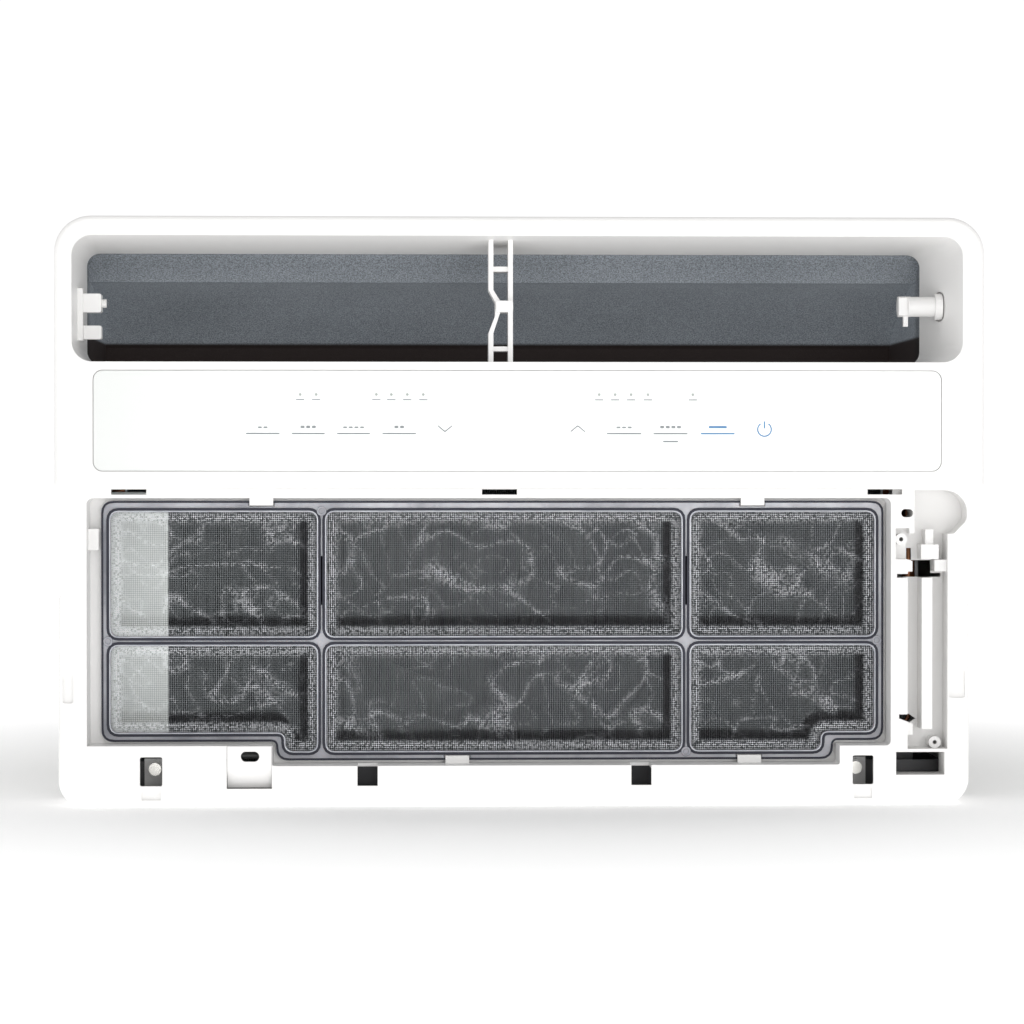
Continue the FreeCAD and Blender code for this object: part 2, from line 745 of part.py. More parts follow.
def sensor_housing():
    """Cover over the room-air sensor, with an oval port, at the filter's stepped corner."""
    x0, x1 = sensor_x
    z0, z1 = sensor_z
    ledge = z0 + 0.52 * (z1 - z0)
    d0 = lower_setback + 0.8
    profile = [(d0 + 6.0, z0), (d0 + 18.0, z0), (d0 + 18.0, z1), (d0, z1), (d0, ledge)]
    body = side_profile(profile, x0, x1)
    hollow = block(x0 + 2.0, x1 - 2.0, d0 + 2.5, d0 + 19.0, ledge + 0.6, z1 - 2.0)
    middle = (x0 + x1) / 2 + 0.4
    port = rounded(middle - 5.6, middle + 5.6, d0 - 1, d0 + 4, z1 - 9.4, z1 - 3.2, 3.05)
    return body.cut(hollow).cut(port)


def room_sensor():
    """Bead thermistor standing behind the oval port."""
    middle = (sensor_x[0] + sensor_x[1]) / 2
    d0 = lower_setback + 0.8
    z = sensor_z[1] - 6.3
    bead = rod_x(middle - 6.0, middle + 6.0, d0 + 9.0, z, 2.2)
    clip = block(middle - 2.0, middle + 2.0, d0 + 9.0, d0 + 17.8, z - 1.2, z + 1.2)
    return fused([bead, clip])


def control_board():
    """Circuit board behind the touch panel, with its touch pads' spacers and a connector."""
    seat_back = panel_setback + panel_thickness + 1.9
    middle = (panel[2] + panel[3]) / 2
    half = (panel[3] - panel[2]) / 2 - 11.1
    board = block(panel[0] + 120.0, panel[1] - 60.0, seat_back + 4.0, seat_back + 5.6,
                  middle - half, middle + half)
    posts = []
    for x in (panel[0] + 128.0, panel[1] - 68.0):
        for z in (middle - half + 5.0, middle + half - 5.0):
            posts.append(rod_y(x, seat_back, seat_back + 4.5, z, 2.5))
    connector = block(panel[1] - 110.0, panel[1] - 88.0, seat_back + 5.0, seat_back + 14.0,
                      middle - 5.0, middle + 5.0)
    return fused([board, connector] + posts)


def foam_strip():
    """Pale foam strip that closes the gap at the evaporator's left end."""
    d1 = evaporator_start - 1.2
    return block(evaporator_x[0] - 14.0, evaporator_x[0] + 25.4, d1 - 3.0, d1, evaporator_z[0] + 6, seam - 2)


def wheel_blades(inner, outer, d0, d1, count, thickness, sweep):
    """Ring of flat blades, each leaning by an angle from the radius, as separate boxes."""
    blades = []
    reach = outer - inner
    for index in range(count):
        blade = Part.makeBox(reach, d1 - d0, thickness, Vector(inner, deep(d0), -thickness / 2))
        blade.rotate(Vector(inner, 0, 0), Vector(0, 1, 0), sweep)
        blade.rotate(Vector(0, 0, 0), Vector(0, 1, 0), 360.0 * index / count)
        blade.translate(Vector(axis_x, 0, axis_z))
        blades.append(blade)
    return blades


def blower_wheel():
    """Squirrel-cage wheel: back disc, hub, front ring and a cage of forward-swept blades."""
    inner = blower_radius - 15.0
    bore = rod_y(axis_x, blower_start - 1, blower_end + 10, axis_z, shaft_radius + shaft_fit)
    disc = rod_y(axis_x, blower_end - 2.0, blower_end, axis_z, blower_radius - 2.0)
    dish = rod_y(axis_x, blower_end - 22.0, blower_end - 1.0, axis_z, 17.0)
    hub = rod_y(axis_x, blower_end - 34.0, blower_end + 2.0, axis_z, 11.0)
    rim = ring_y(axis_x, blower_start, blower_start + 3.0, axis_z, blower_radius, inner + 1)
    blades = wheel_blades(inner + 0.5, blower_radius - 2.5, blower_start + 1.0, blower_end - 1.0,
                          blower_blades, 1.2, 35.0)
    return fused([disc, dish, hub, rim] + blades).cut(bore)


def condenser_fan():
    """Axial fan with a slinger ring at its rim that throws condensate on to the condenser."""
    bore = rod_y(axis_x, fan_start - 6, fan_start + fan_depth + 6, axis_z, shaft_radius + shaft_fit)
    hub = rod_y(axis_x, fan_start - 2.0, fan_start + fan_depth - 2.0, axis_z, fan_hub_radius)
    hollow = ring_y(axis_x, fan_start + 2.0, fan_start + fan_depth, axis_z, fan_hub_radius - 3.0, 12.0)
    slinger = ring_y(axis_x, fan_start + fan_depth - 12.0, fan_start + fan_depth, axis_z,
                     fan_radius, fan_radius - 2.5)
    blades = []
    for index in range(fan_blades):
        blade = fan_blade()
        blade.rotate(Vector(0, 0, 0), Vector(0, 1, 0), 360.0 * index / fan_blades)
        blade.translate(Vector(axis_x, 0, axis_z))
        blades.append(blade)
    return fused([hub.cut(hollow), slinger] + blades).cut(bore)


def fan_blade():
    """One broad blade: a sheet pitched about its own radius and trimmed between two cylinders."""
    chord = 2.2 * fan_hub_radius
    inner = fan_hub_radius - 2.0
    outer = fan_radius - 1.2
    thickness = 2.2
    middle = fan_start + fan_depth / 2
    blade = Part.makeBox(outer + 20, thickness, chord, Vector(0, -thickness / 2, -chord / 2))
    blade.rotate(Vector(0, 0, 0), Vector(1, 0, 0), -68.0)
    blade.rotate(Vector(0, 0, 0), Vector(1, 0, 0), 90.0)
    blade.translate(Vector(0, deep(middle), 0))
    sleeve = Part.makeCylinder(outer, fan_depth - 4, Vector(0, deep(fan_start + 2), 0), Vector(0, 1, 0))
    core = Part.makeCylinder(inner, fan_depth, Vector(0, deep(fan_start), 0), Vector(0, 1, 0))
    return blade.common(sleeve.cut(core))


def motor_shaft():
    """One shaft through the motor, with the blower wheel in front and the fan behind."""
    body = rod_y(axis_x, blower_end - 36.0, fan_start + fan_depth + 8.0, axis_z, shaft_radius)
    ends = [rod_y(axis_x, blower_end - 44.0, blower_end - 36.0, axis_z, 3.0),
            rod_y(axis_x, fan_start + fan_depth + 8.0, fan_start + fan_depth + 14.0, axis_z, 3.0)]
    return fused([body] + ends)


def shaft_nuts():
    """Nuts that clamp the wheel and the fan on the shaft's threaded ends."""
    nuts = []
    for d in (blower_end - 42.0, fan_start + fan_depth + 8.0):
        points = []
        for index in range(6):
            angle = math.radians(60 * index)
            points.append((axis_x + 6.4 * math.cos(angle), axis_z + 6.4 * math.sin(angle)))
        nuts.append(plate(points, [0] * 6, d, d + 5.0).cut(rod_y(axis_x, d - 1, d + 6, axis_z, 3.0)))
    return Part.makeCompound(nuts)


def fan_motor():
    """Double-shaft motor: drawn steel can with end bells, bearing noses and foot lugs."""
    d0 = motor_start
    d1 = motor_start + motor_length
    can = rod_y(axis_x, d0 + 10, d1 - 10, axis_z, motor_radius)
    bells = [
        Part.makeCone(motor_radius * 0.72, motor_radius, 10, Vector(axis_x, deep(d0), axis_z), Vector(0, 1, 0)),
        Part.makeCone(motor_radius, motor_radius * 0.72, 10, Vector(axis_x, deep(d1 - 10), axis_z),
                      Vector(0, 1, 0)),
    ]
    noses = [rod_y(axis_x, d0 - 7, d0 + 1, axis_z, 15.0), rod_y(axis_x, d1 - 1, d1 + 7, axis_z, 15.0)]
    band = ring_y(axis_x, d0 + 26, d1 - 26, axis_z, motor_radius + 1.2, motor_radius - 1)
    bore = rod_y(axis_x, d0 - 9, d1 + 9, axis_z, shaft_radius + shaft_fit)
    return fused([can] + bells + noses + [band]).cut(bore)


def motor_bracket():
    """Pressed steel cradle that stands on the base pan and clamps the motor."""
    d0 = motor_start + 30
    d1 = motor_start + motor_length - 30
    low = pan_top
    clamp = ring_y(axis_x, d0, d1, axis_z, motor_radius + 4.2, motor_radius + 1.2)
    half = motor_radius + 4.2
    legs = []
    for side in (-1, 1):
        legs.append(plate([(axis_x + side * (half - 8), axis_z), (axis_x + side * (half - 5.5), axis_z),
                           (axis_x + side * (half + 22), low), (axis_x + side * (half + 18), low)]
                          if side > 0 else
                          [(axis_x - half - 22, low), (axis_x - half - 18, low),
                           (axis_x - half + 8, axis_z), (axis_x - half + 5.5, axis_z)],
                          [0] * 4, d0, d1))
    foot = block(axis_x - half - 30, axis_x + half + 30, d0 - 12, d1 + 12, low, low + 1.6)
    inside = rod_y(axis_x, d0 - 1, d1 + 1, axis_z, motor_radius + 1.2)
    return fused([clamp, foot] + legs).cut(inside)


def scroll_points():
    """Points of the spiral wall round the wheel, from the tongue to the throat, anticlockwise."""
    start = blower_radius + scroll_gap
    points = []
    steps = 12
    for index in range(steps + 1):
        share = index / steps
        angle = math.radians(60.0 - 300.0 * share)
        reach = start + scroll_growth * share
        points.append((axis_x + reach * math.cos(angle), axis_z + reach * math.sin(angle)))
    return points


def duct_back():
    return bulkhead_start - 5.0


def scroll_space(grow, d0, d1):
    """Volume inside the scroll: the spiral and its throat up to the outlet duct."""
    points = scroll_points()
    y = deep(d0)
    top = mouth[2] - 3.5
    vectors = [Vector(x, y, z) for x, z in points]
    edges = []
    for index in range(0, len(vectors) - 1, 2):
        edges.append(Part.Arc(vectors[index], vectors[index + 1], vectors[index + 2]).toShape())
    first = vectors[0]
    last = vectors[-1]
    throat_left = Vector(min(last.x, axis_x - blower_radius - scroll_gap - scroll_growth), y, top)
    throat_right = Vector(first.x + 10.0, y, top)
    edges.append(Part.LineSegment(last, throat_left).toShape())
    edges.append(Part.LineSegment(throat_left, throat_right).toShape())
    edges.append(Part.LineSegment(throat_right, first).toShape())
    wire = Part.Wire(edges)
    if grow:
        wire = wire.makeOffset2D(grow)
    return Part.Face(wire).extrude(Vector(0, d1 - d0, 0))


def blower_scroll():
    """Plastic scroll housing round the blower wheel, open to the evaporator and to the duct."""
    d0 = blower_start - 5.0
    d1 = duct_back()
    top = mouth[2] - 3.5
    shell = scroll_space(scroll_wall, d0, d1)
    inside = scroll_space(0, d0 + scroll_wall, d1 - scroll_wall)
    inlet = rod_y(axis_x, d0 - 1, d0 + scroll_wall + 1, axis_z, blower_radius - 14.0)
    shaft_hole = rod_y(axis_x, d1 - scroll_wall - 1, d1 + 1, axis_z, 20.0)
    lid = block(left, right, d0 - 1, d1 + 1, top, height)
    lip = ring_y(axis_x, d0 - 3.0, d0 + 0.5, axis_z, blower_radius - 12.0, blower_radius - 14.0)
    return without(fused([shell.cut(inside), lip]), [inlet, shaft_hole, lid])


def duct_profile():
    """Side outline of the air space in the outlet duct, as (depth, height)."""
    z0 = mouth[2]
    z1 = tunnel[3]
    crease = (tunnel_depth + 17.0, z1 - 16.5)
    end = (duct_back() - 3.0, z1 - 53.0)
    points = [(tunnel_depth + 1.0, z1), crease]
    steps = 7
    for index in range(1, steps + 1):
        share = index / steps
        points.append((crease[0] + share * (end[0] - crease[0]),
                       crease[1] - (crease[1] - end[1]) * share ** 1.9))
    points.append((end[0], z0 - 10.0))
    points.append((blower_start - 3.0, z0 - 10.0))
    points.append((blower_start - 3.0, z0))
    points.append((tunnel_depth + 1.0, z0))
    return points


def outlet_duct():
    """Flocked foam duct that leads the air from the scroll up and forward to the outlet."""
    x0 = tunnel[0]
    x1 = tunnel[1]
    z0 = mouth[2] - 3.5
    z1 = cabinet_top - sheet - 0.4
    d0 = tunnel_depth + 0.3
    d1 = duct_back()
    outer = plate(corners(cabinet_x[0] + sheet + 0.3, x1 + 3.0, z0, z1), [0, 0, 0, 4.5], d0, d1)
    space = side_profile(duct_profile(), x0, x1)
    mouth_cut = rounded(x0, x1, d0 - 1, tunnel_depth + 2.0, mouth[2], tunnel[3], tunnel_radius)
    throat = scroll_space(0, blower_start - 3.0, d1 - 3.0)
    under = block(x0, x1, d0 - 1, d1 + 1, 0, z0)
    return without(outer, [space, mouth_cut, throat.cut(under)])


def coil_tubes(z0, z1):
    """Heights of a coil's tubes: an even number, centred, so both free ends are on the right."""
    gaps = int((z1 - z0 - coil_row_pitch) // coil_row_pitch)
    gaps -= 1 - gaps % 2
    offset = (z1 - z0 - gaps * coil_row_pitch) / 2
    return [z0 + offset + index * coil_row_pitch for index in range(gaps + 1)]


def coil_rows(d0, d1):
    """Depths of a coil's two rows of tubes."""
    return (d0 + (d1 - d0) * 0.27, d0 + (d1 - d0) * 0.73)


def coil_bends(x0, x1, d0, d1, z0, z1):
    """Return bends of a coil's tubes, standing out of its end plates at both ends."""
    bends = []
    pitch = coil_row_pitch
    for row in coil_rows(d0, d1):
        for index, low in enumerate(coil_tubes(z0, z1)[:-1]):
            side = 1 if index % 2 else -1
            x = x1 if side > 0 else x0
            middle = Vector(x, deep(row), low + pitch / 2)
            bend = Part.makeTorus(pitch / 2, coil_tube_radius, middle, Vector(0, 1, 0), -180, 180, 360)
            keep = block(x if side > 0 else x - pitch, x + pitch if side > 0 else x,
                         row - 6, row + 6, low - 6, low + pitch + 6)
            bends.append(bend.common(keep))
    return Part.makeCompound(bends)


def coil_plates(x0, x1, d0, d1, z0, z1):
    """Flanged end plates of a coil."""
    pieces = []
    for x, side in ((x0, -1), (x1, 1)):
        xa = x if side > 0 else x - end_plate
        pieces.append(block(xa, xa + end_plate, d0 - 1.0, d1 + 1.0, z0, z1))
    return Part.makeCompound(pieces)


def evaporator_fins():
    x0, x1 = evaporator_x
    return block(x0, x1, evaporator_start, evaporator_end, evaporator_z[0], evaporator_z[1])


def evaporator_bends():
    x0, x1 = evaporator_x
    return coil_bends(x0 - end_plate, x1 + end_plate, evaporator_start, evaporator_end,
                      evaporator_z[0], evaporator_z[1])


def evaporator_plates():
    x0, x1 = evaporator_x
    return coil_plates(x0, x1, evaporator_start, evaporator_end, evaporator_z[0], evaporator_z[1])


def condenser_box():
    return (cabinet_x[0] + 22.0, cabinet_x[1] - 34.0, condenser_start, condenser_end,
            pan_top + 6.0, cabinet_top - sheet - 8.0)


def condenser_fins():
    return block(*condenser_box())


def condenser_bends():
    x0, x1, d0, d1, z0, z1 = condenser_box()
    return coil_bends(x0 - end_plate, x1 + end_plate, d0, d1, z0, z1)


def condenser_plates():
    x0, x1, d0, d1, z0, z1 = condenser_box()
    return coil_plates(x0, x1, d0, d1, z0 - 6.0, z1)


def fan_shroud():
    """Moulded plate with a bell ring round the fan, in front of the condenser."""
    opening = fan_radius + shroud_gap
    wall = 2.5
    x0, x1 = condenser_box()[:2]
    face = block(x0, x1, shroud_plate, shroud_plate + wall, pan_top, condenser_box()[5])
    ring = ring_y(axis_x, shroud_plate - 14, shroud_plate + 1, axis_z, opening + wall, opening)
    hole = rod_y(axis_x, shroud_plate - 15, shroud_plate + wall + 1, axis_z, opening)
    return fused([face, ring]).cut(hole)


def shroud_walls():
    """Walls that join the shroud's plate to the condenser's end plates and top."""
    x0, x1, d0, _, z0, z1 = condenser_box()
    wall = 2.5
    start = shroud_plate + wall
    return fused([block(x0, x0 + wall, start, d0, z0, z1),
                  block(x1 - wall, x1, start, d0, z0, z1),
                  block(x0, x1, start, d0, z1 - wall, z1)])


def bulkhead():
    """Partition between the room side and the outdoor side, with a hole for the motor shaft."""
    x0 = cabinet_x[0] + 2 * sheet + 0.5
    x1 = cabinet_x[1] - 2 * sheet - 0.5
    top = cabinet_top - sheet - 0.4
    d0 = bulkhead_start
    wall = plate(corners(x0, x1, pan_top, top), [0, 0, 5.0, 5.0], d0, d0 + sheet)
    flange = block(x0 + 20, x1 - 20, d0, d0 + 12, top - sheet, top)
    foot = block(x0 + 4, x1 - 4, d0, d0 + 12, pan_top, pan_top + sheet)
    hole = rod_y(axis_x, d0 - 1, d0 + 13, axis_z, 18.0)
    pipe_hole = rounded(cabinet_x[1] - 66, cabinet_x[1] - 14, d0 - 1, d0 + 13, 60.0, 120.0, 8.0)
    return without(fused([wall, flange, foot]), [hole, pipe_hole])


def base_pan():
    """Steel pan that everything stands on: floor, turned-up sides, pressed feet and a drain hole."""
    x0 = cabinet_x[0] + sheet + 0.2
    x1 = cabinet_x[1] - sheet - 0.2
    d0 = flange_start
    d1 = cabinet_back - 0.4
    rise = base_flange
    floor = block(x0, x1, d0, d1, pan_z, pan_top)
    walls = [block(x0, x0 + sheet, d0, d1, pan_z, pan_z + rise),
             block(x1 - sheet, x1, d0, d1, pan_z, pan_z + rise),
             block(x0, x1, d1 - sheet, d1, pan_z, pan_z + rise),
             block(x0, x1, d0, d0 + sheet, pan_z, pan_z + front_flange)]
    runners = []
    for d in (frame_depth + 22.0, depth - 70.0):
        outer = block(x0 + 30, x1 - 30, d, d + 26, 0, pan_z + 0.5)
        inner = block(x0 + 30 + sheet, x1 - 30 - sheet, d + sheet, d + 26 - sheet, sheet, pan_top + 1)
        runners.append((outer, inner))
    pan = fused([floor] + walls + [outer for outer, inner in runners])
    pan = without(pan, [inner for outer, inner in runners])
    drain = rod_z(drain_place()[0], drain_place()[1], pan_z - 1, pan_top + 1, drain_radius)
    holes = [rod_y(x, d0 - 1, d0 + 2, z, screw_radius - 0.3) for x, z in boss_places()]
    holes += [rod_z(x, d, pan_z - 1, pan_top + 1, bracket_hole_radius) for x, d in bracket_holes()]
    return without(pan, [drain] + holes)


def drain_place():
    return (cabinet_x[0] + 40.0, depth - 118.0)


def bracket_holes():
    """Holes in the pan's floor where an outside support bracket bolts on."""
    d0 = frame_depth + 80.0
    d1 = frame_depth + 200.0
    x = 210.0
    return [(-x, d0), (x, d0), (-x, d1), (x, d1)]


def drain_plug():
    """Rubber plug in the pan's drain hole."""
    x, d = drain_place()
    stem = rod_z(x, d, pan_z - 3.0, pan_top + 0.5, drain_radius)
    flange = rod_z(x, d, pan_z - 4.5, pan_z, drain_radius + 3.0)
    bead = rod_z(x, d, pan_top, pan_top + 2.5, drain_radius + 1.0)
    return fused([stem, flange, bead])


def vent_slots(x, d0, rows, z0, pitch, length):
    """Column of slots in a side wall at one X."""
    return [block(x - 2, x + 2, d0, d0 + length, z0 + row * pitch, z0 + row * pitch + 4.0)
            for row in range(rows)]



def rail_holes():
    """Two screw holes in the cabinet's top where a window rail is fastened."""
    d = frame_depth + 12.0
    return [(rail_hole_pitch * step, d) for step in (-0.5, 0.5)]


def whole_cabinet():
    """Painted steel cover with air slots, before it is divided into its top and two sides."""
    x0, x1 = cabinet_x
    d0 = flange_start
    d1 = cabinet_back
    z0 = pan_z + 2.0
    z1 = cabinet_top
    outer = block(x0, x1, d0, d1, z0, z1)
    outer = outer.makeFillet(5.0, [edge for edge in outer.Edges
                                   if edge.BoundBox.YLength > 100 and edge.BoundBox.ZMin > z1 - 1])
    inner = block(x0 + sheet, x1 - sheet, d0 - 1, d1 + 1, z0 - 1, z1 - sheet)
    inner = inner.makeFillet(4.0, [edge for edge in inner.Edges
                                   if edge.BoundBox.YLength > 100 and edge.BoundBox.ZMin > z1 - sheet - 1])
    shell = outer.cut(inner)
    slots = []
    rows = int((z1 - 100.0) // 11.0)
    for x in (x0, x1):
        for start in (bulkhead_start + 26.0, bulkhead_start + 86.0):
            slots += vent_slots(x, start, rows, 50.0, 11.0, 48.0)
    top_rows = int((shroud_plate - bulkhead_start - 60.0) // 12.0)
    for column in range(5):
        x = -200.0 + column * 82.0
        for row in range(top_rows):
            d = bulkhead_start + 28.0 + row * 12.0
            slots.append(block(x, x + 66.0, d, d + 4.0, z1 - 2, z1 + 1))
    holes = [rod_z(x, d, z1 - 2, z1 + 1, rail_hole_radius) for x, d in rail_holes()]
    side_holes = []
    for x in (x0, x1):
        for d in cabinet_screw_depths():
            side_holes.append(rod_x(x - 2, x + 2, d, pan_z + 9.0, screw_radius + 0.2))
    inlet = rod_x(x1 - 3, x1 + 1, inlet_place()[0], inlet_place()[1], inlet_radius)
    return without(shell, slots + holes + side_holes + [inlet])


def cabinet_sheet(x0, x1, z0, z1):
    """The part of the cabinet between these limits."""
    return whole_cabinet().common(block(x0, x1, 0, depth, z0, z1))


def cabinet():
    """The cabinet's top, with its edges turned down."""
    return cabinet_sheet(-width, width, cabinet_top - cabinet_bend, height)


def cabinet_left_side():
    return cabinet_sheet(-width, 0, 0, cabinet_top - cabinet_bend)


def cabinet_right_side():
    return cabinet_sheet(0, width, 0, cabinet_top - cabinet_bend)



def inlet_place():
    """Depth and height of the power lead's entry in the cabinet's right side."""
    return (frame_depth + 26.0, 40.0)


def cabinet_screw_depths():
    return (frame_depth + 60.0, depth / 2 + 40.0, depth - 40.0)


def power_inlet():
    """Grommet that guides the power lead through the cabinet's side."""
    d, z = inlet_place()
    x1 = cabinet_x[1]
    body = rod_x(x1 - sheet - 2.5, x1 + 2.5, d, z, inlet_radius)
    flanges = [rod_x(x1 + 0.0, x1 + 3.0, d, z, inlet_radius + 2.5),
               rod_x(x1 - sheet - 3.0, x1 - sheet, d, z, inlet_radius + 2.5)]
    return fused([body] + flanges).cut(rod_x(x1 - 12, x1 + 8, d, z, lead_radius))


def cabinet_screws():
    """Hex-washer screws along the cabinet's lower sides."""
    screws = []
    for x, side in ((cabinet_x[0], -1), (cabinet_x[1], 1)):
        for d in cabinet_screw_depths():
            z = pan_z + 9.0
            if side > 0:
                screws.append(fused([rod_x(x, x + 0.8, d, z, 5.0), rod_x(x, x + screw_head, d, z, 3.6),
                                     rod_x(x - sheet - 0.15, x + 0.5, d, z, screw_radius)]))
            else:
                screws.append(fused([rod_x(x - 0.8, x, d, z, 5.0), rod_x(x - screw_head, x, d, z, 3.6),
                                     rod_x(x - 0.5, x + sheet + 0.15, d, z, screw_radius)]))
    return Part.makeCompound(screws)


def frame_screws():
    """Pan-head screws through the front frame's bosses."""
    screws = []
    for x, z in boss_places():
        screws.append(fused([
            rod_y(x, flange_start - 7.1 - screw_head, flange_start - 7.1, z, screw_head_radius),
            rod_y(x, flange_start - 8.0, flange_start - 0.1, z, screw_radius),
            rod_y(x, flange_start - 0.2, flange_start + 6.0, z, screw_radius - 0.3)]))
    return Part.makeCompound(screws)


def rear_grille():
    """Stamped guard over the condenser: a sheet with rows of slots."""
    x0, x1 = cabinet_x
    d0 = cabinet_back
    guard = rounded(x0, x1, d0, d0 + grille_thickness, pan_z, cabinet_top, 5.0)
    slots = []
    c0, c1, _, _, z0, z1 = condenser_box()
    pitch_x = 19.0
    pitch_z = 33.0
    columns = int((c1 - c0 - 10) // pitch_x)
    rows = int((z1 - z0 - 10) // pitch_z)
    margin = ((c1 - c0) - columns * pitch_x) / 2
    rise = ((z1 - z0) - rows * pitch_z) / 2
    for column in range(columns):
        for row in range(rows):
            x = c0 + margin + column * pitch_x + 3.0
            z = z0 + rise + row * pitch_z + 3.0
            slots.append(block(x, x + 13.0, d0 - 1, depth + 1, z, z + 27.0))
    return without(guard, slots)


def compressor_depth():
    return (bulkhead_start + shroud_plate) / 2 - 2.0


def compressor():
    """Rotary compressor: welded steel shell with domed ends and a three-legged foot."""
    d = compressor_depth()
    z0 = pan_top + compressor_lift
    z1 = z0 + compressor_height
    r = compressor_radius
    shell = rod_z(compressor_x, d, z0 + 10, z1 - 16, r)
    top = Part.makeCone(r, r * 0.5, 15, Vector(compressor_x, deep(d), z1 - 16), Vector(0, 0, 1))
    bottom = Part.makeCone(r * 0.8, r, 10, Vector(compressor_x, deep(d), z0), Vector(0, 0, 1))
    stub = rod_z(compressor_x - 14, d - 12, z1 - 12, z1 + 12, 3.9)
    foot = rod_z(compressor_x, d, z0, z0 + 3, r + 18)
    trim = [block(compressor_x + r - 6, compressor_x + r + 40, d - 90, d + 90, z0 - 1, z0 + 4)]
    holes = [rod_z(x, y, z0 - 1, z0 + 4, 4.3) for x, y in compressor_feet_places()]
    return without(fused([shell, top, bottom, stub, foot]), trim + holes)


def compressor_feet_places():
    reach = compressor_radius + 9.0
    places = []
    for angle in (60, 180, 300):
        places.append((compressor_x + reach * math.cos(math.radians(angle)),
                       compressor_depth() + reach * math.sin(math.radians(angle))))
    return places


def compressor_feet():
    """Rubber mounts between the compressor's foot and the base pan."""
    z0 = pan_top
    mounts = []
    for x, d in compressor_feet_places():
        mounts.append(fused([rod_z(x, d, z0, z0 + 12.0, 7.0), rod_z(x, d, z0 + 11, z0 + 15.0, 4.3),
                             rod_z(x, d, z0 + 15.0, z0 + 18.0, 6.5)]).cut(
            rod_z(x, d, z0 - 1, z0 + 20, 3.0)))
    return Part.makeCompound(mounts)


def compressor_bolts():
    """Studs through the rubber mounts, with flange nuts."""
    z0 = pan_top
    return Part.makeCompound([
        fused([rod_z(x, d, z0, z0 + 24.0, 2.9), rod_z(x, d, z0 + 18.0, z0 + 19.2, 6.8),
               rod_z(x, d, z0 + 18.0, z0 + 23.0, 5.0)]) for x, d in compressor_feet_places()])


def terminal_cover():
    """Plastic cap over the compressor's electrical terminals."""
    z1 = pan_top + compressor_lift + compressor_height
    d = compressor_depth()
    z0 = z1 - 1.0
    cap = rod_z(compressor_x + 8, d + 6, z0, z0 + 17.0, 13.0)
    stem = rod_z(compressor_x + 8, d + 6, z0 + 16, z0 + 20.0, 4.0)
    return fused([cap, stem])


def accumulator_place():
    return (compressor_x - 70.0, compressor_depth() + 38.0)


def accumulator():
    """Suction accumulator strapped beside the compressor."""
    x, d = accumulator_place()
    z0 = 66.0
    z1 = 190.0
    can = rod_z(x, d, z0 + 12, z1 - 12, 17.0)
    ends = [Part.makeCone(6, 17, 12, Vector(x, deep(d), z0), Vector(0, 0, 1)),
            Part.makeCone(17, 6, 12, Vector(x, deep(d), z1 - 12), Vector(0, 0, 1))]
    return fused([can] + ends)



def discharge_pipe():
    """Copper pipe from the compressor's top to the top tube of the condenser."""
    x = compressor_x - 14
    d = compressor_depth() - 12
    x0, x1, d0, d1, z0, z1 = condenser_box()
    z = pan_top + compressor_lift + compressor_height
    end_z = coil_tubes(z0, z1)[-1]
    end_d = coil_rows(d0, d1)[0]
    end_x = x1 + end_plate
    path = [(x, d, z + 12.1), (x, d, end_z), (end_x + 20.0, d, end_z), (end_x + 20.0, end_d, end_z),
            (end_x + 0.1, end_d, end_z)]
    return bent_tube(path, pipe_radius, 11.0)


def suction_pipe():
    """Copper pipe from the evaporator's top tube, down and back through the bulkhead, to the accumulator."""
    x, d = accumulator_place()
    end_x = evaporator_x[1] + end_plate
    x0 = end_x + 20.0
    row = coil_rows(evaporator_start, evaporator_end)[1]
    top = coil_tubes(evaporator_z[0], evaporator_z[1])[-1]
    behind = bulkhead_start + 22.0
    path = [(end_x + 0.1, row, top), (x0, row, top), (x0, row, 100.0), (x0, behind, 100.0),
            (x, behind, 100.0), (x, behind, 226.0), (x, d, 226.0), (x, d, 190.1)]
    return bent_tube(path, pipe_radius + 1.0, pipe_bend)


def accumulator_outlet():
    """Short pipe from the accumulator's foot into the compressor's shell."""
    x, d = accumulator_place()
    gap = compressor_x - compressor_radius
    path = [(x, d, 65.9), (x, d, 46.0), (compressor_x - 30.0, d, 46.0)]
    tube = bent_tube(path, pipe_radius + 1.0, 10.0)
    body = rod_z(compressor_x, compressor_depth(), 10.0, 200.0, compressor_radius)
    keep = tube.cut(body)
    solids = sorted(keep.Solids, key=lambda solid: solid.BoundBox.XMin)
    return solids[0] if gap > x else keep


def drier_x():
    return cabinet_x[1] - 18.0


def filter_drier():
    """Copper drier between the condenser and the capillary."""
    x = drier_x()
    d = bulkhead_start + 60.0
    can = rod_z(x, d, 150.0, 200.0, 9.0)
    ends = [Part.makeCone(3.4, 9.0, 10, Vector(x, deep(d), 140.0), Vector(0, 0, 1)),
            Part.makeCone(9.0, 3.4, 10, Vector(x, deep(d), 200.0), Vector(0, 0, 1))]
    return fused([can] + ends)


def liquid_pipe():
    """Copper pipe from the bottom tube of the condenser to the drier."""
    x = drier_x()
    d = bulkhead_start + 60.0
    x0, x1, d0, d1, z0, z1 = condenser_box()
    end_z = coil_tubes(z0, z1)[0]
    end_d = coil_rows(d0, d1)[1]
    path = [(x1 + end_plate + 0.1, end_d, end_z), (x, end_d, end_z), (x, d, end_z), (x, d, 139.9)]
    return bent_tube(path, pipe_radius, pipe_bend * 0.9)


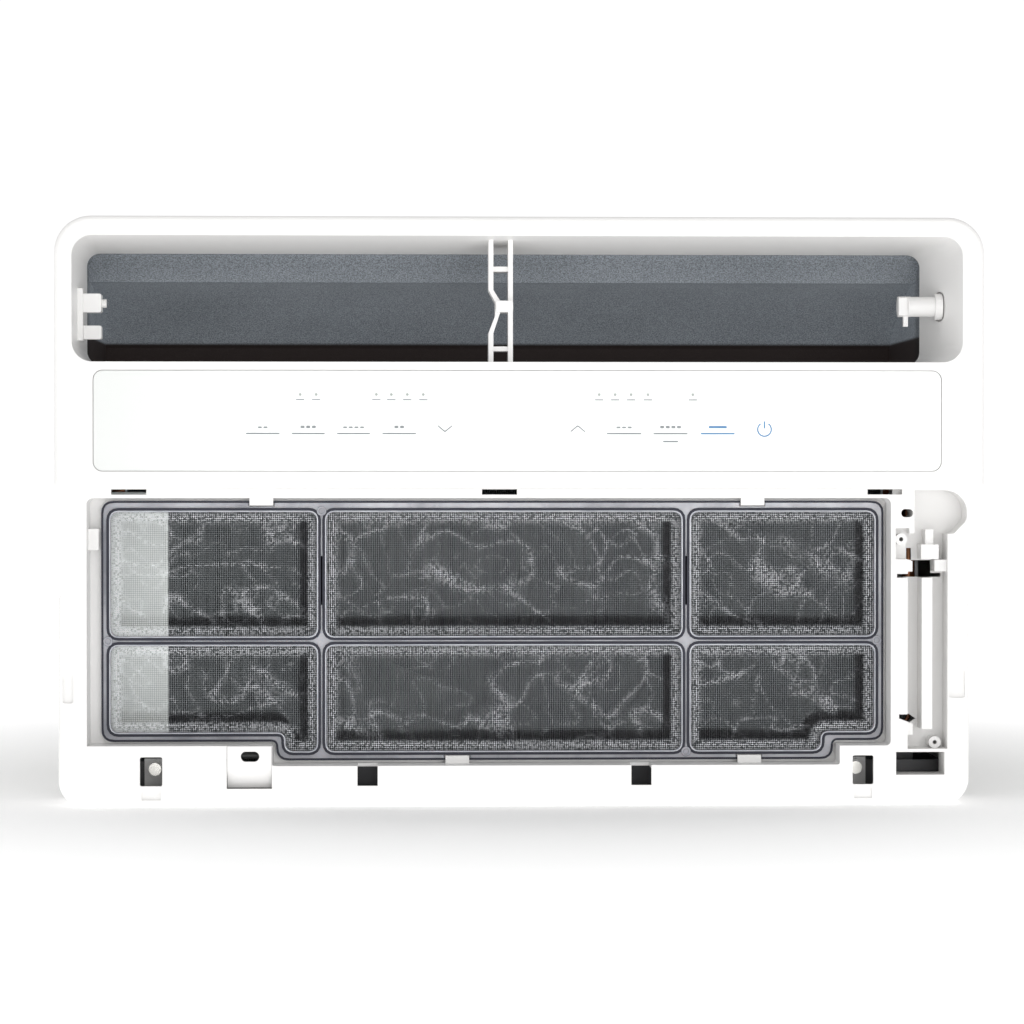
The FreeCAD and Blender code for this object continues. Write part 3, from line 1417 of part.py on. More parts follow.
def capillary_tube():
    """Fine copper capillary from the drier through the bulkhead to the evaporator's bottom tube."""
    x = drier_x()
    d = bulkhead_start + 60.0
    x1 = evaporator_x[1] + end_plate
    row = coil_rows(evaporator_start, evaporator_end)[0]
    foot = coil_tubes(evaporator_z[0], evaporator_z[1])[0]
    path = [(x, d, 210.1), (x, d, 232.0), (x, d - 26.0, 232.0), (x, d - 26.0, 84.0),
            (x1 + 18.0, d - 26.0, 84.0), (x1 + 18.0, row, 84.0), (x1 + 18.0, row, foot),
            (x1 + 0.1, row, foot)]
    return bent_tube(path, 1.3, 7.0)


def drain_pan():
    """Foam tray that catches condensate under the evaporator."""
    x0 = evaporator_x[0] - end_plate
    x1 = evaporator_x[1] + end_plate
    d0 = evaporator_start + 3.5
    d1 = evaporator_end + 8.0
    z0 = pan_top
    outer = block(x0 - 4.0, x1 + 4.0, d0, d1, z0, evaporator_z[0] + 6.0)
    seat = block(x0 - 0.1, x1 + 0.1, d0 - 1, evaporator_end + 1.4, evaporator_z[0], evaporator_z[0] + 8)
    hollow = block(x0 + 10.0, x1 - 10.0, d0 + 3.0, d1 - 3.0, z0 + 5.0, evaporator_z[0] + 8)
    spout = block(x0 + 30.0, x0 + 42.0, d1 - 4.0, d1 + 1, z0 + 5.0, z0 + 12.0)
    return without(outer, [seat, hollow, spout])


def control_box():
    """Steel box for the electrical parts, beside the blower scroll."""
    x0 = axis_x + blower_radius + scroll_gap + scroll_wall + 60.0
    x1 = cabinet_x[1] - 12.0
    d0 = evaporator_end + 12.0
    d1 = bulkhead_start - 1.0
    z0 = 136.0
    z1 = mouth[2] - 12.0
    outer = block(x0, x1, d0, d1, z0, z1)
    inner = block(x0 + 1.2, x1 - 1.2, d0 - 1, d1 - 1.2, z0 + 1.2, z1 - 1.2)
    foot = block(x0, x1, d1 - 1.2, d1 + 1.0, z0 + 10, z1 - 10)
    lead_hole = rod_x(x1 - 4, x1 + 1, d0 + 20.0, z0 + 16.0, 5.0)
    return without(fused([outer.cut(inner), foot]), [lead_hole])


def control_cover():
    """Lid of the electrical box."""
    x0 = axis_x + blower_radius + scroll_gap + scroll_wall + 60.0
    x1 = cabinet_x[1] - 12.0
    d0 = evaporator_end + 12.0
    lid = block(x0 - 1.0, x1 + 1.0, d0 - 1.2, d0, 135.0, mouth[2] - 11.0)
    return fused([lid, block(x0 + 1.4, x1 - 1.4, d0 - 0.5, d0 + 6.0, 137.4, 138.4)])


def capacitor_place():
    x0 = axis_x + blower_radius + scroll_gap + scroll_wall + 60.0
    return (x0 + 31.0, evaporator_end + 44.0)


def run_capacitor():
    """Oval run capacitor with its spade terminals."""
    x, d = capacitor_place()
    z0 = control_floor
    can = fused([block(x - 12, x + 12, d - 16.0, d + 16.0, z0, z0 + 62.0),
                 rod_z(x - 12, d, z0, z0 + 62.0, 16.0), rod_z(x + 12, d, z0, z0 + 62.0, 16.0)])
    spades = [block(x + offset - 3.1, x + offset + 3.1, d - 0.4, d + 0.4, z0 + 61.0, z0 + 73.0)
              for offset in (-14.0, 0.0, 14.0)]
    return fused([can] + spades)


def capacitor_strap():
    """Steel strap that holds the capacitor in the box."""
    x, d = capacitor_place()
    z = 166.0
    grown_can = fused([block(x - 12, x + 12, d - 17.0, d + 17.0, z, z + 14.0),
                       rod_z(x - 12, d, z, z + 14.0, 17.0), rod_z(x + 12, d, z, z + 14.0, 17.0)])
    can = fused([block(x - 12, x + 12, d - 16.0, d + 16.0, z - 1, z + 15.0),
                 rod_z(x - 12, d, z - 1, z + 15.0, 16.0), rod_z(x + 12, d, z - 1, z + 15.0, 16.0)])
    back_wall = bulkhead_start - 1.0 - 1.2
    lug = block(x - 5.0, x + 5.0, d + 16.5, back_wall, z + 2.0, z + 12.0)
    return fused([grown_can, lug]).cut(can)


def power_relay_board():
    """Power board standing in the box, with a relay and a transformer block."""
    x, d = capacitor_place()
    x0 = x + 36.0
    board = block(x0 - 2.0, x0 - 0.4, d - 26.0, d + 30.0, 142.0, 222.0)
    relay = block(x0 - 0.6, x0 + 15.0, d - 20.0, d + 8.0, 150.0, 168.0)
    transformer = block(x0 - 0.6, x0 + 13.0, d - 18.0, d + 16.0, 178.0, 208.0)
    feet = [block(x0 - 4.0, x0 - 0.4, d - 20.0, d - 12.0, control_floor, 143.0),
            block(x0 - 4.0, x0 - 0.4, d + 12.0, d + 20.0, control_floor, 143.0)]
    return fused([board, relay, transformer] + feet)


def coil_sensor():
    """Copper-sleeved thermistor clipped to an evaporator bend."""
    x0 = evaporator_x[1] + end_plate
    d = evaporator_start + evaporator_thickness / 2
    sleeve = rod_y(x0 + 6.0, d - 3.0, d + 3.0, evaporator_z[1] - 14.0, 3.0)
    lead = rod_z(x0 + 6.0, d, evaporator_z[1] - 14.0, evaporator_z[1] + 6.0, 1.2)
    clip = block(x0, x0 + 6.0, d - 2.0, d + 2.0, evaporator_z[1] - 15.0, evaporator_z[1] - 13.0)
    return fused([sleeve, lead, clip])


def motor_screws():
    """Screws that fasten the motor's cradle and the stepper motor's lugs."""
    screws = []
    half = motor_radius + 4.2
    for x in (axis_x - half - 26, axis_x + half + 26):
        for d in (motor_start + 24, motor_start + motor_length - 24):
            z = pan_top + 1.6
            screws.append(rod_z(x, d, z, z + 2.4, 3.8))
    return Part.makeCompound(screws)


nodes = {
    "front_frame": front_frame,
    "frame_left_side": frame_left_side,
    "frame_right_side": frame_right_side,
    "frame_bottom": frame_bottom,
    "touch_panel": touch_panel,
    "control_board": control_board,
    "outlet_support": outlet_support,
    "pivot_pegs": pivot_pegs,
    "vane_drive_hub": vane_drive_hub,
    "vane_motor": vane_motor,
    "filter_frame": filter_frame,
    "filter_mesh": filter_mesh,
    "sensor_housing": sensor_housing,
    "room_sensor": room_sensor,
    "foam_strip": foam_strip,
    "evaporator_fins": evaporator_fins,
    "evaporator_bends": evaporator_bends,
    "evaporator_plates": evaporator_plates,
    "coil_sensor": coil_sensor,
    "drain_pan": drain_pan,
    "outlet_duct": outlet_duct,
    "blower_scroll": blower_scroll,
    "blower_wheel": blower_wheel,
    "motor_shaft": motor_shaft,
    "shaft_nuts": shaft_nuts,
    "condenser_fan": condenser_fan,
    "fan_motor": fan_motor,
    "motor_bracket": motor_bracket,
    "motor_screws": motor_screws,
    "bulkhead": bulkhead,
    "base_pan": base_pan,
    "drain_plug": drain_plug,
    "cabinet": cabinet,
    "cabinet_left_side": cabinet_left_side,
    "cabinet_right_side": cabinet_right_side,
    "cabinet_screws": cabinet_screws,
    "frame_screws": frame_screws,
    "rear_grille": rear_grille,
    "condenser_fins": condenser_fins,
    "condenser_bends": condenser_bends,
    "condenser_plates": condenser_plates,
    "fan_shroud": fan_shroud,
    "shroud_walls": shroud_walls,
    "compressor": compressor,
    "compressor_feet": compressor_feet,
    "compressor_bolts": compressor_bolts,
    "terminal_cover": terminal_cover,
    "accumulator": accumulator,
    "accumulator_outlet": accumulator_outlet,
    "suction_pipe": suction_pipe,
    "discharge_pipe": discharge_pipe,
    "liquid_pipe": liquid_pipe,
    "filter_drier": filter_drier,
    "capillary_tube": capillary_tube,
    "control_box": control_box,
    "control_cover": control_cover,
    "run_capacitor": run_capacitor,
    "capacitor_strap": capacitor_strap,
    "power_relay_board": power_relay_board,
    "power_inlet": power_inlet,
}

os.makedirs("parts", exist_ok=True)
for name, make in nodes.items():
    save(name, make())
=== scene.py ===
import math

import bmesh
import bpy
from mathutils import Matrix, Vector, noise


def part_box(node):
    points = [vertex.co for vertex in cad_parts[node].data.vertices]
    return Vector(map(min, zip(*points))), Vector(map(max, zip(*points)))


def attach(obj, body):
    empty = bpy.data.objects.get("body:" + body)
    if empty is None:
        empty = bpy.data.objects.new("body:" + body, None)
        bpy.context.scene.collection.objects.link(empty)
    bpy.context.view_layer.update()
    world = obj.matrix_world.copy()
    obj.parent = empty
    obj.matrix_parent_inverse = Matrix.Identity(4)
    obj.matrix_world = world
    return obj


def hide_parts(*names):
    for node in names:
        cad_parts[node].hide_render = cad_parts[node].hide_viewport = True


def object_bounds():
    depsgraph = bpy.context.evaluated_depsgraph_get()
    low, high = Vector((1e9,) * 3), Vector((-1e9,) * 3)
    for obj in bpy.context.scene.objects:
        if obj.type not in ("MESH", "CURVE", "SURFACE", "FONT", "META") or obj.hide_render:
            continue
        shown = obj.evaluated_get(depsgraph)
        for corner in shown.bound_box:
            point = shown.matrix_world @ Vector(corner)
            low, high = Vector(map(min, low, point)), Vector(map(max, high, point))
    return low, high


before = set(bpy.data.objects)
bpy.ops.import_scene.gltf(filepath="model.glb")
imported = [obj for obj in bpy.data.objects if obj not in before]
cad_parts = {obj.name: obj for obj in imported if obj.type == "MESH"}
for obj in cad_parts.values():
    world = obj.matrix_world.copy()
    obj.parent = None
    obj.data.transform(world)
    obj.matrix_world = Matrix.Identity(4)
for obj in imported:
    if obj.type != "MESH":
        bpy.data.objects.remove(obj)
cad_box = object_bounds()

# ---------------------------------------------------------------- viewpoint, floor and light
# The unit is looked at from two metres in front, a hand's width to the left of its middle and level
# with the foot of its touch panel. It stands on a plain white floor under broad soft lights.
aim = Vector((-0.0056, cad_box[0][1], 0.1793))
eye = Vector((-0.072, cad_box[0][1] - 2.0, 0.2024))
camera_data = bpy.data.cameras.new("viewpoint")
camera_data.lens = 117.0
camera_data.sensor_width = 36.0
camera_data.clip_end = 60.0
camera = bpy.data.objects.new("viewpoint", camera_data)
camera.location = eye
camera.rotation_euler = (aim - eye).to_track_quat("-Z", "Y").to_euler()
bpy.context.scene.collection.objects.link(camera)
bpy.context.scene.camera = camera
bpy.context.scene.view_settings.view_transform = "Standard"

world = bpy.data.worlds.new("studio")
bpy.context.scene.world = world
world.use_nodes = True
sky = world.node_tree.nodes["Background"]
sky.inputs["Color"].default_value = (1.0, 1.0, 1.0, 1.0)
seen = world.node_tree.nodes.new("ShaderNodeLightPath").outputs["Is Camera Ray"]
brightness = world.node_tree.nodes.new("ShaderNodeMapRange")
brightness.inputs["To Min"].default_value = 0.56
brightness.inputs["To Max"].default_value = 1.05
world.node_tree.links.new(seen, brightness.inputs["Value"])
world.node_tree.links.new(brightness.outputs["Result"], sky.inputs["Strength"])


def soft_light(name, place, target, size, power):
    """Broad area light that points at the target."""
    data = bpy.data.lights.new(name, "AREA")
    data.shape = "RECTANGLE"
    data.size = size[0]
    data.size_y = size[1]
    data.energy = power
    light = bpy.data.objects.new(name, data)
    light.location = place
    light.rotation_euler = (Vector(target) - Vector(place)).to_track_quat("-Z", "Y").to_euler()
    bpy.context.scene.collection.objects.link(light)


soft_light("light_above", (-0.5, -0.9, 2.4), (0, 0, 0.1), (1.6, 1.2), 9.0)
soft_light("light_front", (0.6, -3.1, 0.22), (0, 0, 0.2), (2.0, 0.4), 17.0)

floor_mesh = bpy.data.meshes.new("floor")
reach = 14.0
floor_mesh.from_pydata([(-reach, -reach, 0), (reach, -reach, 0), (reach, reach, 0), (-reach, reach, 0)],
                       [], [(0, 1, 2, 3)])
floor = bpy.data.objects.new("floor", floor_mesh)
bpy.context.scene.collection.objects.link(floor)
floor_material = bpy.data.materials.new("pale_floor")
floor_material.use_nodes = True
floor_tree = floor_material.node_tree
floor_shader = floor_tree.nodes["Principled BSDF"]
floor_shader.inputs["Base Color"].default_value = (0.90, 0.90, 0.90, 1.0)
floor_shader.inputs["Roughness"].default_value = 0.9
floor_shader.inputs["Emission Color"].default_value = (1.0, 1.0, 1.0, 1.0)
# The floor glows on its own: as the camera sees it, it glows less within about a metre of the unit, so
# the floor round the unit is darker, and fully farther out; for light bounced onto the unit it glows at
# 0.85.
floor_place = floor_tree.nodes.new("ShaderNodeTexCoord").outputs["Object"]
floor_reach = floor_tree.nodes.new("ShaderNodeVectorMath")
floor_reach.operation = "LENGTH"
floor_tree.links.new(floor_place, floor_reach.inputs[0])
floor_glow = floor_tree.nodes.new("ShaderNodeMapRange")
floor_glow.inputs["From Min"].default_value = 0.30
floor_glow.inputs["From Max"].default_value = 0.95
floor_glow.inputs["To Min"].default_value = 0.14
floor_glow.inputs["To Max"].default_value = 0.75
floor_tree.links.new(floor_reach.outputs["Value"], floor_glow.inputs["Value"])
floor_seen = floor_tree.nodes.new("ShaderNodeLightPath").outputs["Is Camera Ray"]
floor_bounce = floor_tree.nodes.new("ShaderNodeMix")
floor_bounce.inputs[2].default_value = 0.85
floor_tree.links.new(floor_seen, floor_bounce.inputs[0])
floor_tree.links.new(floor_glow.outputs["Result"], floor_bounce.inputs[3])
floor_tree.links.new(floor_bounce.outputs[0], floor_shader.inputs["Emission Strength"])
floor_mesh.materials.append(floor_material)


# ---------------------------------------------------------------- moulded front frame
# One ABS moulding, near white and faintly warm, with a fine satin texture from the tool. Its edges
# are rounded and a little polished by handling, and the recesses hold a trace of dust.
def group_socket(tree, name, kind, default=None, output=False):
    """Named input or output of a node group."""
    side = "OUTPUT" if output else "INPUT"
    socket = tree.interface.new_socket(name=name, in_out=side, socket_type=kind)
    if default is not None:
        socket.default_value = default
    return socket


def wire(tree, source, target):
    tree.links.new(source, target)


def mix_colour(tree, factor, first, second, blend="MIX"):
    """Colour mix node; each argument is a socket or a plain value."""
    node = tree.nodes.new("ShaderNodeMix")
    node.data_type = "RGBA"
    node.blend_type = blend
    for socket, value in ((node.inputs[0], factor), (node.inputs[6], first), (node.inputs[7], second)):
        if isinstance(value, bpy.types.NodeSocket):
            tree.links.new(value, socket)
        else:
            socket.default_value = value
    return node.outputs[2]


def arithmetic(tree, operation, first, second=0.0, clamp=False):
    """Math node; each argument is a socket or a number."""
    node = tree.nodes.new("ShaderNodeMath")
    node.operation = operation
    node.use_clamp = clamp
    for socket, value in zip(node.inputs, (first, second)):
        if isinstance(value, bpy.types.NodeSocket):
            tree.links.new(value, socket)
        else:
            socket.default_value = value
    return node.outputs[0]


def noise_value(tree, coordinates, scale, detail=3.0):
    """Noise texture value; the scale is a socket or a number."""
    node = tree.nodes.new("ShaderNodeTexNoise")
    node.inputs["Detail"].default_value = detail
    tree.links.new(coordinates, node.inputs["Vector"])
    if isinstance(scale, bpy.types.NodeSocket):
        tree.links.new(scale, node.inputs["Scale"])
    else:
        node.inputs["Scale"].default_value = scale
    return node.outputs["Fac"]


def make_finish_group():
    """Shared surface effect: mottled colour, fine grain, softened edges that catch wear, and dust."""
    tree = bpy.data.node_groups.new("worked_finish", "ShaderNodeTree")
    group_socket(tree, "Color", "NodeSocketColor", (0.8, 0.8, 0.8, 1))
    group_socket(tree, "Second Color", "NodeSocketColor", (0.7, 0.7, 0.7, 1))
    group_socket(tree, "Edge Color", "NodeSocketColor", (0.9, 0.9, 0.9, 1))
    group_socket(tree, "Mottle Scale", "NodeSocketFloat", 12.0)
    group_socket(tree, "Mottle", "NodeSocketFloat", 0.3)
    group_socket(tree, "Grain Scale", "NodeSocketFloat", 1500.0)
    group_socket(tree, "Grain", "NodeSocketFloat", 0.05)
    group_socket(tree, "Roughness", "NodeSocketFloat", 0.45)
    group_socket(tree, "Roughness Spread", "NodeSocketFloat", 0.1)
    group_socket(tree, "Edge Wear", "NodeSocketFloat", 0.2)
    group_socket(tree, "Edge Radius", "NodeSocketFloat", 0.0006)
    group_socket(tree, "Dust", "NodeSocketFloat", 0.05)
    group_socket(tree, "Color", "NodeSocketColor", output=True)
    group_socket(tree, "Roughness", "NodeSocketFloat", output=True)
    group_socket(tree, "Normal", "NodeSocketVector", output=True)
    given = tree.nodes.new("NodeGroupInput").outputs
    result = tree.nodes.new("NodeGroupOutput").inputs
    place = tree.nodes.new("ShaderNodeTexCoord").outputs["Object"]
    geometry = tree.nodes.new("ShaderNodeNewGeometry").outputs

    mottle = noise_value(tree, place, given["Mottle Scale"], 5.0)
    streak = tree.nodes.new("ShaderNodeMapRange")
    streak.inputs["From Min"].default_value = 0.35
    streak.inputs["From Max"].default_value = 0.68
    wire(tree, mottle, streak.inputs["Value"])
    spread = arithmetic(tree, "MULTIPLY", streak.outputs["Result"], given["Mottle"], clamp=True)
    base = mix_colour(tree, spread, given["Color"], given["Second Color"])

    rounded = tree.nodes.new("ShaderNodeBevel")
    rounded.samples = 4
    wire(tree, given["Edge Radius"], rounded.inputs["Radius"])
    facing = tree.nodes.new("ShaderNodeVectorMath")
    facing.operation = "DOT_PRODUCT"
    wire(tree, rounded.outputs["Normal"], facing.inputs[0])
    wire(tree, geometry["True Normal"], facing.inputs[1])
    edge = tree.nodes.new("ShaderNodeMapRange")
    edge.inputs["From Min"].default_value = 0.995
    edge.inputs["From Max"].default_value = 0.86
    wire(tree, facing.outputs["Value"], edge.inputs["Value"])
    patchy = noise_value(tree, place, 160.0, 4.0)
    worn = arithmetic(tree, "MULTIPLY", edge.outputs["Result"], patchy)
    worn = arithmetic(tree, "MULTIPLY", worn, given["Edge Wear"], clamp=True)
    base = mix_colour(tree, worn, base, given["Edge Color"])

    upward = tree.nodes.new("ShaderNodeSeparateXYZ")
    wire(tree, geometry["Normal"], upward.inputs[0])
    settled = arithmetic(tree, "MAXIMUM", upward.outputs["Z"], 0.12)
    specks = noise_value(tree, place, 90.0, 8.0)
    dust = arithmetic(tree, "MULTIPLY", settled, specks)
    dust = arithmetic(tree, "MULTIPLY", dust, given["Dust"], clamp=True)
    base = mix_colour(tree, dust, base, (0.36, 0.34, 0.31, 1.0))
    wire(tree, base, result["Color"])

    swing = arithmetic(tree, "SUBTRACT", mottle, 0.5)
    swing = arithmetic(tree, "MULTIPLY", swing, given["Roughness Spread"])
    rough = arithmetic(tree, "ADD", given["Roughness"], swing)
    rough = arithmetic(tree, "ADD", rough, dust, clamp=True)
    wire(tree, rough, result["Roughness"])

    grain = noise_value(tree, place, given["Grain Scale"], 2.0)
    bump = tree.nodes.new("ShaderNodeBump")
    bump.inputs["Distance"].default_value = 0.0004
    wire(tree, given["Grain"], bump.inputs["Strength"])
    wire(tree, grain, bump.inputs["Height"])
    wire(tree, rounded.outputs["Normal"], bump.inputs["Normal"])
    wire(tree, bump.outputs["Normal"], result["Normal"])
    return tree


finish_group = make_finish_group()


def finish_material(name, colour, second, **values):
    """Material with the shared finish. Values are the finish's inputs, or the shader's own constants."""
    made = bpy.data.materials.new(name)
    made.use_nodes = True
    tree = made.node_tree
    shader = tree.nodes["Principled BSDF"]
    finish = tree.nodes.new("ShaderNodeGroup")
    finish.node_tree = finish_group
    finish.inputs["Color"].default_value = (*colour, 1.0)
    finish.inputs["Second Color"].default_value = (*second, 1.0)
    for key, value in values.items():
        label = key.replace("_", " ").title()
        if label in finish.inputs:
            finish.inputs[label].default_value = (*value, 1.0) if isinstance(value, tuple) else value
        else:
            label = {"Ior": "IOR"}.get(label, label)
            shader.inputs[label].default_value = value
    wire(tree, finish.outputs["Color"], shader.inputs["Base Color"])
    wire(tree, finish.outputs["Roughness"], shader.inputs["Roughness"])
    wire(tree, finish.outputs["Normal"], shader.inputs["Normal"])
    return made


def dress(material, *names):
    """Give carried-over nodes a material."""
    for name in names:
        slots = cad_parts[name].data.materials
        slots.clear()
        slots.append(material)


frame_white = finish_material(
    "frame_white", (0.845, 0.838, 0.828), (0.81, 0.803, 0.792), mottle_scale=9.0, mottle=0.35,
    grain_scale=2600.0, grain=0.10, roughness=0.42, roughness_spread=0.12, edge_radius=0.0,
    edge_color=(0.95, 0.945, 0.94), edge_wear=0.5, dust=0.05)
dress(frame_white, "front_frame", "frame_left_side", "frame_right_side", "frame_bottom")


# ---------------------------------------------------------------- touch panel and its printed keys
# A thin glossy sheet behind the moulding's window, faintly green, with keys and lamps printed on it.
# The prints are small flat meshes a hair above the sheet: bars, arrows, a power mark and lamp dots.
panel_gloss = finish_material(
    "panel_gloss", (0.785, 0.80, 0.785), (0.765, 0.78, 0.765), mottle_scale=5.0, mottle=0.4,
    grain_scale=1500.0, grain=0.015, roughness=0.16, roughness_spread=0.05, edge_radius=0.0004,
    edge_color=(0.86, 0.87, 0.85), edge_wear=0.3, dust=0.02, coat_weight=0.5, coat_roughness=0.08)
dress(panel_gloss, "touch_panel")

panel_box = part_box("touch_panel")
print_y = panel_box[0].y - 0.00008
marks = {"ink_grey": [], "ink_blue": [], "ink_lamp": []}


def mark_polygon(ink, points):
    marks[ink].append([(x / 1000, z / 1000) for x, z in points])


def mark_bar(ink, x0, x1, z0, z1, corner=0.3):
    """Bar with its corners cut."""
    mark_polygon(ink, [(x0 + corner, z0), (x1 - corner, z0), (x1, z0 + corner), (x1, z1 - corner),
                       (x1 - corner, z1), (x0 + corner, z1), (x0, z1 - corner), (x0, z0 + corner)])


def mark_disc(ink, x, z, radius, count=18):
    turns = [math.tau * i / count for i in range(count)]
    mark_polygon(ink, [(x + radius * math.cos(turn), z + radius * math.sin(turn)) for turn in turns])


def mark_arc(ink, x, z, radius, line, start, end, count=26):
    """Arc of a thin ring between two angles in degrees, as a row of quads."""
    angles = [math.radians(start + (end - start) * i / count) for i in range(count + 1)]
    for a, b in zip(angles, angles[1:]):
        inner, outer = radius - line / 2, radius + line / 2
        mark_polygon(ink, [(x + inner * math.cos(a), z + inner * math.sin(a)),
                           (x + outer * math.cos(a), z + outer * math.sin(a)),
                           (x + outer * math.cos(b), z + outer * math.sin(b)),
                           (x + inner * math.cos(b), z + inner * math.sin(b))])


def mark_line(ink, x0, z0, x1, z1, line):
    """Straight stroke."""
    length = math.hypot(x1 - x0, z1 - z0)
    u, v = (z0 - z1) / length * line / 2, (x1 - x0) / length * line / 2
    mark_polygon(ink, [(x0 - u, z0 - v), (x1 - u, z1 - v), (x1 + u, z1 + v), (x0 + u, z0 + v)])


key_bars = [(-165.3, -145.1), (-137.9, -118.0), (-110.7, -90.8), (-83.5, -63.2),
            (51.4, 72.4), (79.6, 100.3)]
for number, (x0, x1) in enumerate(key_bars):
    mark_bar("ink_grey", x0, x1, 226.0, 226.9)
    middle = (x0 + x1) / 2
    for step in range(number % 3 + 2):
        dash = middle + (step - (number % 3 + 1) / 2) * 3.4
        mark_bar("ink_grey", dash - 1.2, dash + 1.2, 229.6, 230.7 + 0.5 * (number % 2))
mark_bar("ink_blue", 108.2, 128.7, 226.0, 226.9)
mark_bar("ink_blue", 113.0, 123.9, 229.7, 231.1)
mark_line("ink_grey", -50.2, 231.2, -45.9, 227.6, 0.7)
mark_line("ink_grey", -45.9, 227.6, -41.5, 231.2, 0.7)
mark_line("ink_grey", 29.7, 227.6, 34.0, 231.2, 0.7)
mark_line("ink_grey", 34.0, 231.2, 38.3, 227.6, 0.7)
mark_arc("ink_blue", 146.7, 229.0, 4.1, 0.8, 125, 415)
mark_line("ink_blue", 146.7, 229.6, 146.7, 233.9, 0.9)
for x in (-132.8, -123.2, -87.1, -78.1, -68.5, -58.9, 46.9, 56.5, 66.1, 76.3, 103.4):
    mark_disc("ink_lamp", x, 249.9, 0.9)
    mark_bar("ink_grey", x - 2.6, x + 2.6, 246.4, 247.1, 0.2)
mark_bar("ink_grey", 85.4, 94.6, 221.2, 222.2)

ink_colours = {"ink_grey": (0.22, 0.24, 0.25), "ink_blue": (0.06, 0.20, 0.40),
               "ink_lamp": (0.34, 0.37, 0.35)}
for ink, polygons in marks.items():
    mesh = bpy.data.meshes.new("panel_" + ink)
    build = bmesh.new()
    for polygon in polygons:
        corners = [build.verts.new((x, print_y, z)) for x, z in polygon]
        face = build.faces.new(corners)
        face.normal_update()
        if face.normal.y > 0:
            face.normal_flip()
    build.to_mesh(mesh)
    build.free()
    colour = ink_colours[ink]
    mesh.materials.append(finish_material(
        ink, colour, tuple(c * 1.25 for c in colour), mottle_scale=300.0, mottle=0.5, grain=0.02,
        roughness=0.35, edge_radius=0.0, dust=0.0))
    prints = bpy.data.objects.new("panel_" + ink, mesh)
    bpy.context.scene.collection.objects.link(prints)
    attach(prints, "chassis")


# ---------------------------------------------------------------- outlet duct, louvre supports and drive
# The air duct behind the mouth is dark grey foam-lined sheet with a fine grain. Its right flank falls
# into shadow; its lower part is painted near black as painted shade, and deeper in, the lining glows a
# little as painted light. The louvre's supports are the frame's own plastic.
duct_material = bpy.data.materials.new("duct_lining")
duct_material.use_nodes = True
duct_tree = duct_material.node_tree
duct_finish = duct_tree.nodes.new("ShaderNodeGroup")
duct_finish.node_tree = finish_group
duct_shader = duct_tree.nodes["Principled BSDF"]
for label, value in (("Color", (0.205, 0.226, 0.250, 1)), ("Second Color", (0.165, 0.184, 0.204, 1)),
                     ("Edge Color", (0.30, 0.33, 0.35, 1)), ("Mottle Scale", 14.0), ("Mottle", 0.6),
                     ("Grain Scale", 1100.0), ("Grain", 0.85), ("Roughness", 0.85),
                     ("Edge Radius", 0.0005), ("Dust", 0.12)):
    duct_finish.inputs[label].default_value = value
duct_place = duct_tree.nodes.new("ShaderNodeTexCoord").outputs["Object"]
duct_speckle = noise_value(duct_tree, duct_place, 1300.0, 1.0)
duct_light = duct_tree.nodes.new("ShaderNodeMapRange")
for label, value in (("From Min", 0.32), ("From Max", 0.68), ("To Min", 0.6), ("To Max", 1.45)):
    duct_light.inputs[label].default_value = value
wire(duct_tree, duct_speckle, duct_light.inputs["Value"])
duct_colour = mix_colour(duct_tree, 1.0, duct_finish.outputs["Color"], duct_light.outputs["Result"],
                         "MULTIPLY")
duct_axes = duct_tree.nodes.new("ShaderNodeSeparateXYZ")
wire(duct_tree, duct_place, duct_axes.inputs[0])
# Painted shade: everything in the lining lower than about 287 mm is painted near black.
duct_painted_shade = duct_tree.nodes.new("ShaderNodeMapRange")
duct_painted_shade.inputs["From Min"].default_value = 0.2880
duct_painted_shade.inputs["From Max"].default_value = 0.2862
wire(duct_tree, duct_axes.outputs["Z"], duct_painted_shade.inputs["Value"])
duct_colour = mix_colour(duct_tree, duct_painted_shade.outputs["Result"], duct_colour, (0.018, 0.013, 0.012, 1))
# Painted light: the lining glows in its own colour, more the deeper it lies, up to a strength of 0.36.
duct_painted_glow = duct_tree.nodes.new("ShaderNodeMapRange")
duct_painted_glow.inputs["From Min"].default_value = cad_box[0][1] + 0.062
duct_painted_glow.inputs["From Max"].default_value = cad_box[0][1] + 0.080
duct_painted_glow.inputs["To Max"].default_value = 0.36
wire(duct_tree, duct_axes.outputs["Y"], duct_painted_glow.inputs["Value"])
wire(duct_tree, duct_painted_glow.outputs["Result"], duct_shader.inputs["Emission Strength"])
wire(duct_tree, duct_colour, duct_shader.inputs["Emission Color"])
wire(duct_tree, duct_colour, duct_shader.inputs["Base Color"])
wire(duct_tree, duct_finish.outputs["Roughness"], duct_shader.inputs["Roughness"])
wire(duct_tree, duct_finish.outputs["Normal"], duct_shader.inputs["Normal"])
dress(duct_material, "outlet_duct")
dress(frame_white, "outlet_support", "pivot_pegs", "vane_drive_hub", "sensor_housing")


# ---------------------------------------------------------------- filter frame
# Pull-out frame of smoky translucent polypropylene, moulded in one piece with its six windows. Its flat
# bars are mottled light and dark grey under a glossy coat; their edges and corners are darker, and dust
# settles on them.
filter_material = finish_material(
    "filter_plastic", (0.36, 0.36, 0.395), (0.13, 0.135, 0.165), mottle_scale=38.0, mottle=0.9,
    grain_scale=900.0, grain=0.10, roughness=0.26, roughness_spread=0.25, edge_radius=0.0007,
    edge_color=(0.10, 0.10, 0.14), edge_wear=0.9, dust=0.08, coat_weight=0.5, coat_roughness=0.15,
    subsurface_weight=0.12, subsurface_scale=0.004)
dress(filter_material, "filter_frame")


